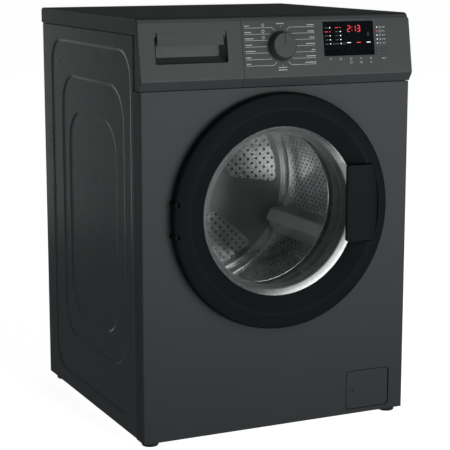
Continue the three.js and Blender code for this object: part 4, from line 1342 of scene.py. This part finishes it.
def coil_spring(side, name):
    """A suspension spring: a wire ring screwed upwards, with an eye at each end."""
    bpy.ops.object.select_all(action="DESELECT")
    bpy.ops.mesh.primitive_circle_add(
        vertices=10, radius=2 * MM, location=Vector((11, 0, 0)) * MM, rotation=(math.pi / 2, 0, 0),
    )
    wire = settle(bpy.context.object)
    settings = {"screw_offset": 5.2 * MM, "iterations": 22, "steps": 24, "render_steps": 24}
    modify(wire, "SCREW", axis="Z", **settings)
    x = side * SPRING_X
    settle(wire, Matrix.Translation(Vector((x, SPRING_DEPTH, 669)) * MM))
    hooks = []
    for z in (660.6, 792):
        bpy.ops.object.select_all(action="DESELECT")
        bpy.ops.mesh.primitive_torus_add(
            major_segments=28, minor_segments=10, major_radius=7.2 * MM, minor_radius=1.9 * MM,
            location=Vector((x, SPRING_DEPTH, z)) * MM, rotation=(0, math.pi / 2, 0),
        )
        hooks.append(settle(bpy.context.object))
    together(wire, *hooks)
    begin(wire)
    end(True)
    fitted(wire, name + "_coil", None, "zinc_steel", stands_for=(name,), angle=60, flat=False)
    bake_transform(wire)


def filter_door():
    flap = plate((162.3, 262.8), (0.3, 2.8), (21.3, 102.7), "Y", 8, 6)
    profile = [(0.6, -1), (4.4, -1), (4.4, 0.3), (3.4, 1.6), (2, 2.0), (0.6, 2.1)]
    cut(flap, turned(profile, centre=(174.4, 59.2), segments=32))
    soften(flap, 0.6, 3, 40)
    profile = [
        (0.6, 19.2), (1.1, 19.2), (1.1, 25.3), (1.5, 25.3), (1.5, 98.7), (1.1, 98.7), (1.1, 104.8),
        (0.6, 104.8),
    ]
    pin = turned(profile, "Z", (262, 3), 16)
    catch = plate((168.3, 171.3), (2.4, 9.6), (54, 66), "X", 1.4, 3)
    name = "filter_flap"
    fitted(together(flap, catch, pin), "filter_door", name, "front_paint", stands_for=(name,))


def filter_plug():
    """The pump filter's round plug with its grip bar."""
    profile = [
        (0.6, 34.6), (29, 34.6), (31.4, 35.4), (32, 36.6), (32, 40.4), (31.2, 41), (26, 41), (26, 66.4),
        (0.6, 66.4),
    ]
    plug = turned(profile, centre=PUMP_FILTER, segments=64)
    x, z = PUMP_FILTER
    notches = []
    for i in range(24):
        angle = i * math.pi / 12
        spot = (x + 33 * math.cos(angle), z + 33 * math.sin(angle))
        notches.append(rod(1.6, (30, 44), spot, "Y", 12))
    cut(plug, together(*notches))
    bar = plate((x - 24, x + 24), (14, 36), (z - 4, z + 4), "Y", 2.2, 3)
    round_edges(bar, lambda middle, direction: middle.y < 15, 1.6, 3)
    fitted(together(plug, bar), "filter_plug", "pump_filter", "grey_plastic", stands_for=("pump_filter",))


def finish_frame_nodes():
    """The CAD solids that stay in view get their slot's finish."""
    slots = {part["node"]: part["material_slot"] for part in frame["record"]["subparts"]}
    for name, node in nodes.items():
        node.data.materials.clear()
        node.data.materials.append(FINISH[slots[name]])


set_camera()
set_studio()
finish_frame_nodes()
side_panel(-1, "left_side_panel")
side_panel(1, "right_side_panel")
front_sheet()
mouth_lip()
worktop_board()
foot_bosses()
for row_name, foot_depth in zip(("front", "rear"), FOOT_DEPTHS):
    levelling_foot(f"foot_{row_name}_left", -FOOT_X, foot_depth)
    levelling_foot(f"foot_{row_name}_right", FOOT_X, foot_depth)
rear_sheet()
rear_service_cover()
screws()
water_inlet()
control_face()
drawer_face()
display()
keys()
programme_knob()
drawer_box()
door_ring()
bowl()
grip()
drum_wall()
drum_ends()
drum_back()
lifters()
seal()
coil_spring(-1, "suspension_spring_left")
coil_spring(1, "suspension_spring_right")
filter_door()
filter_plug()
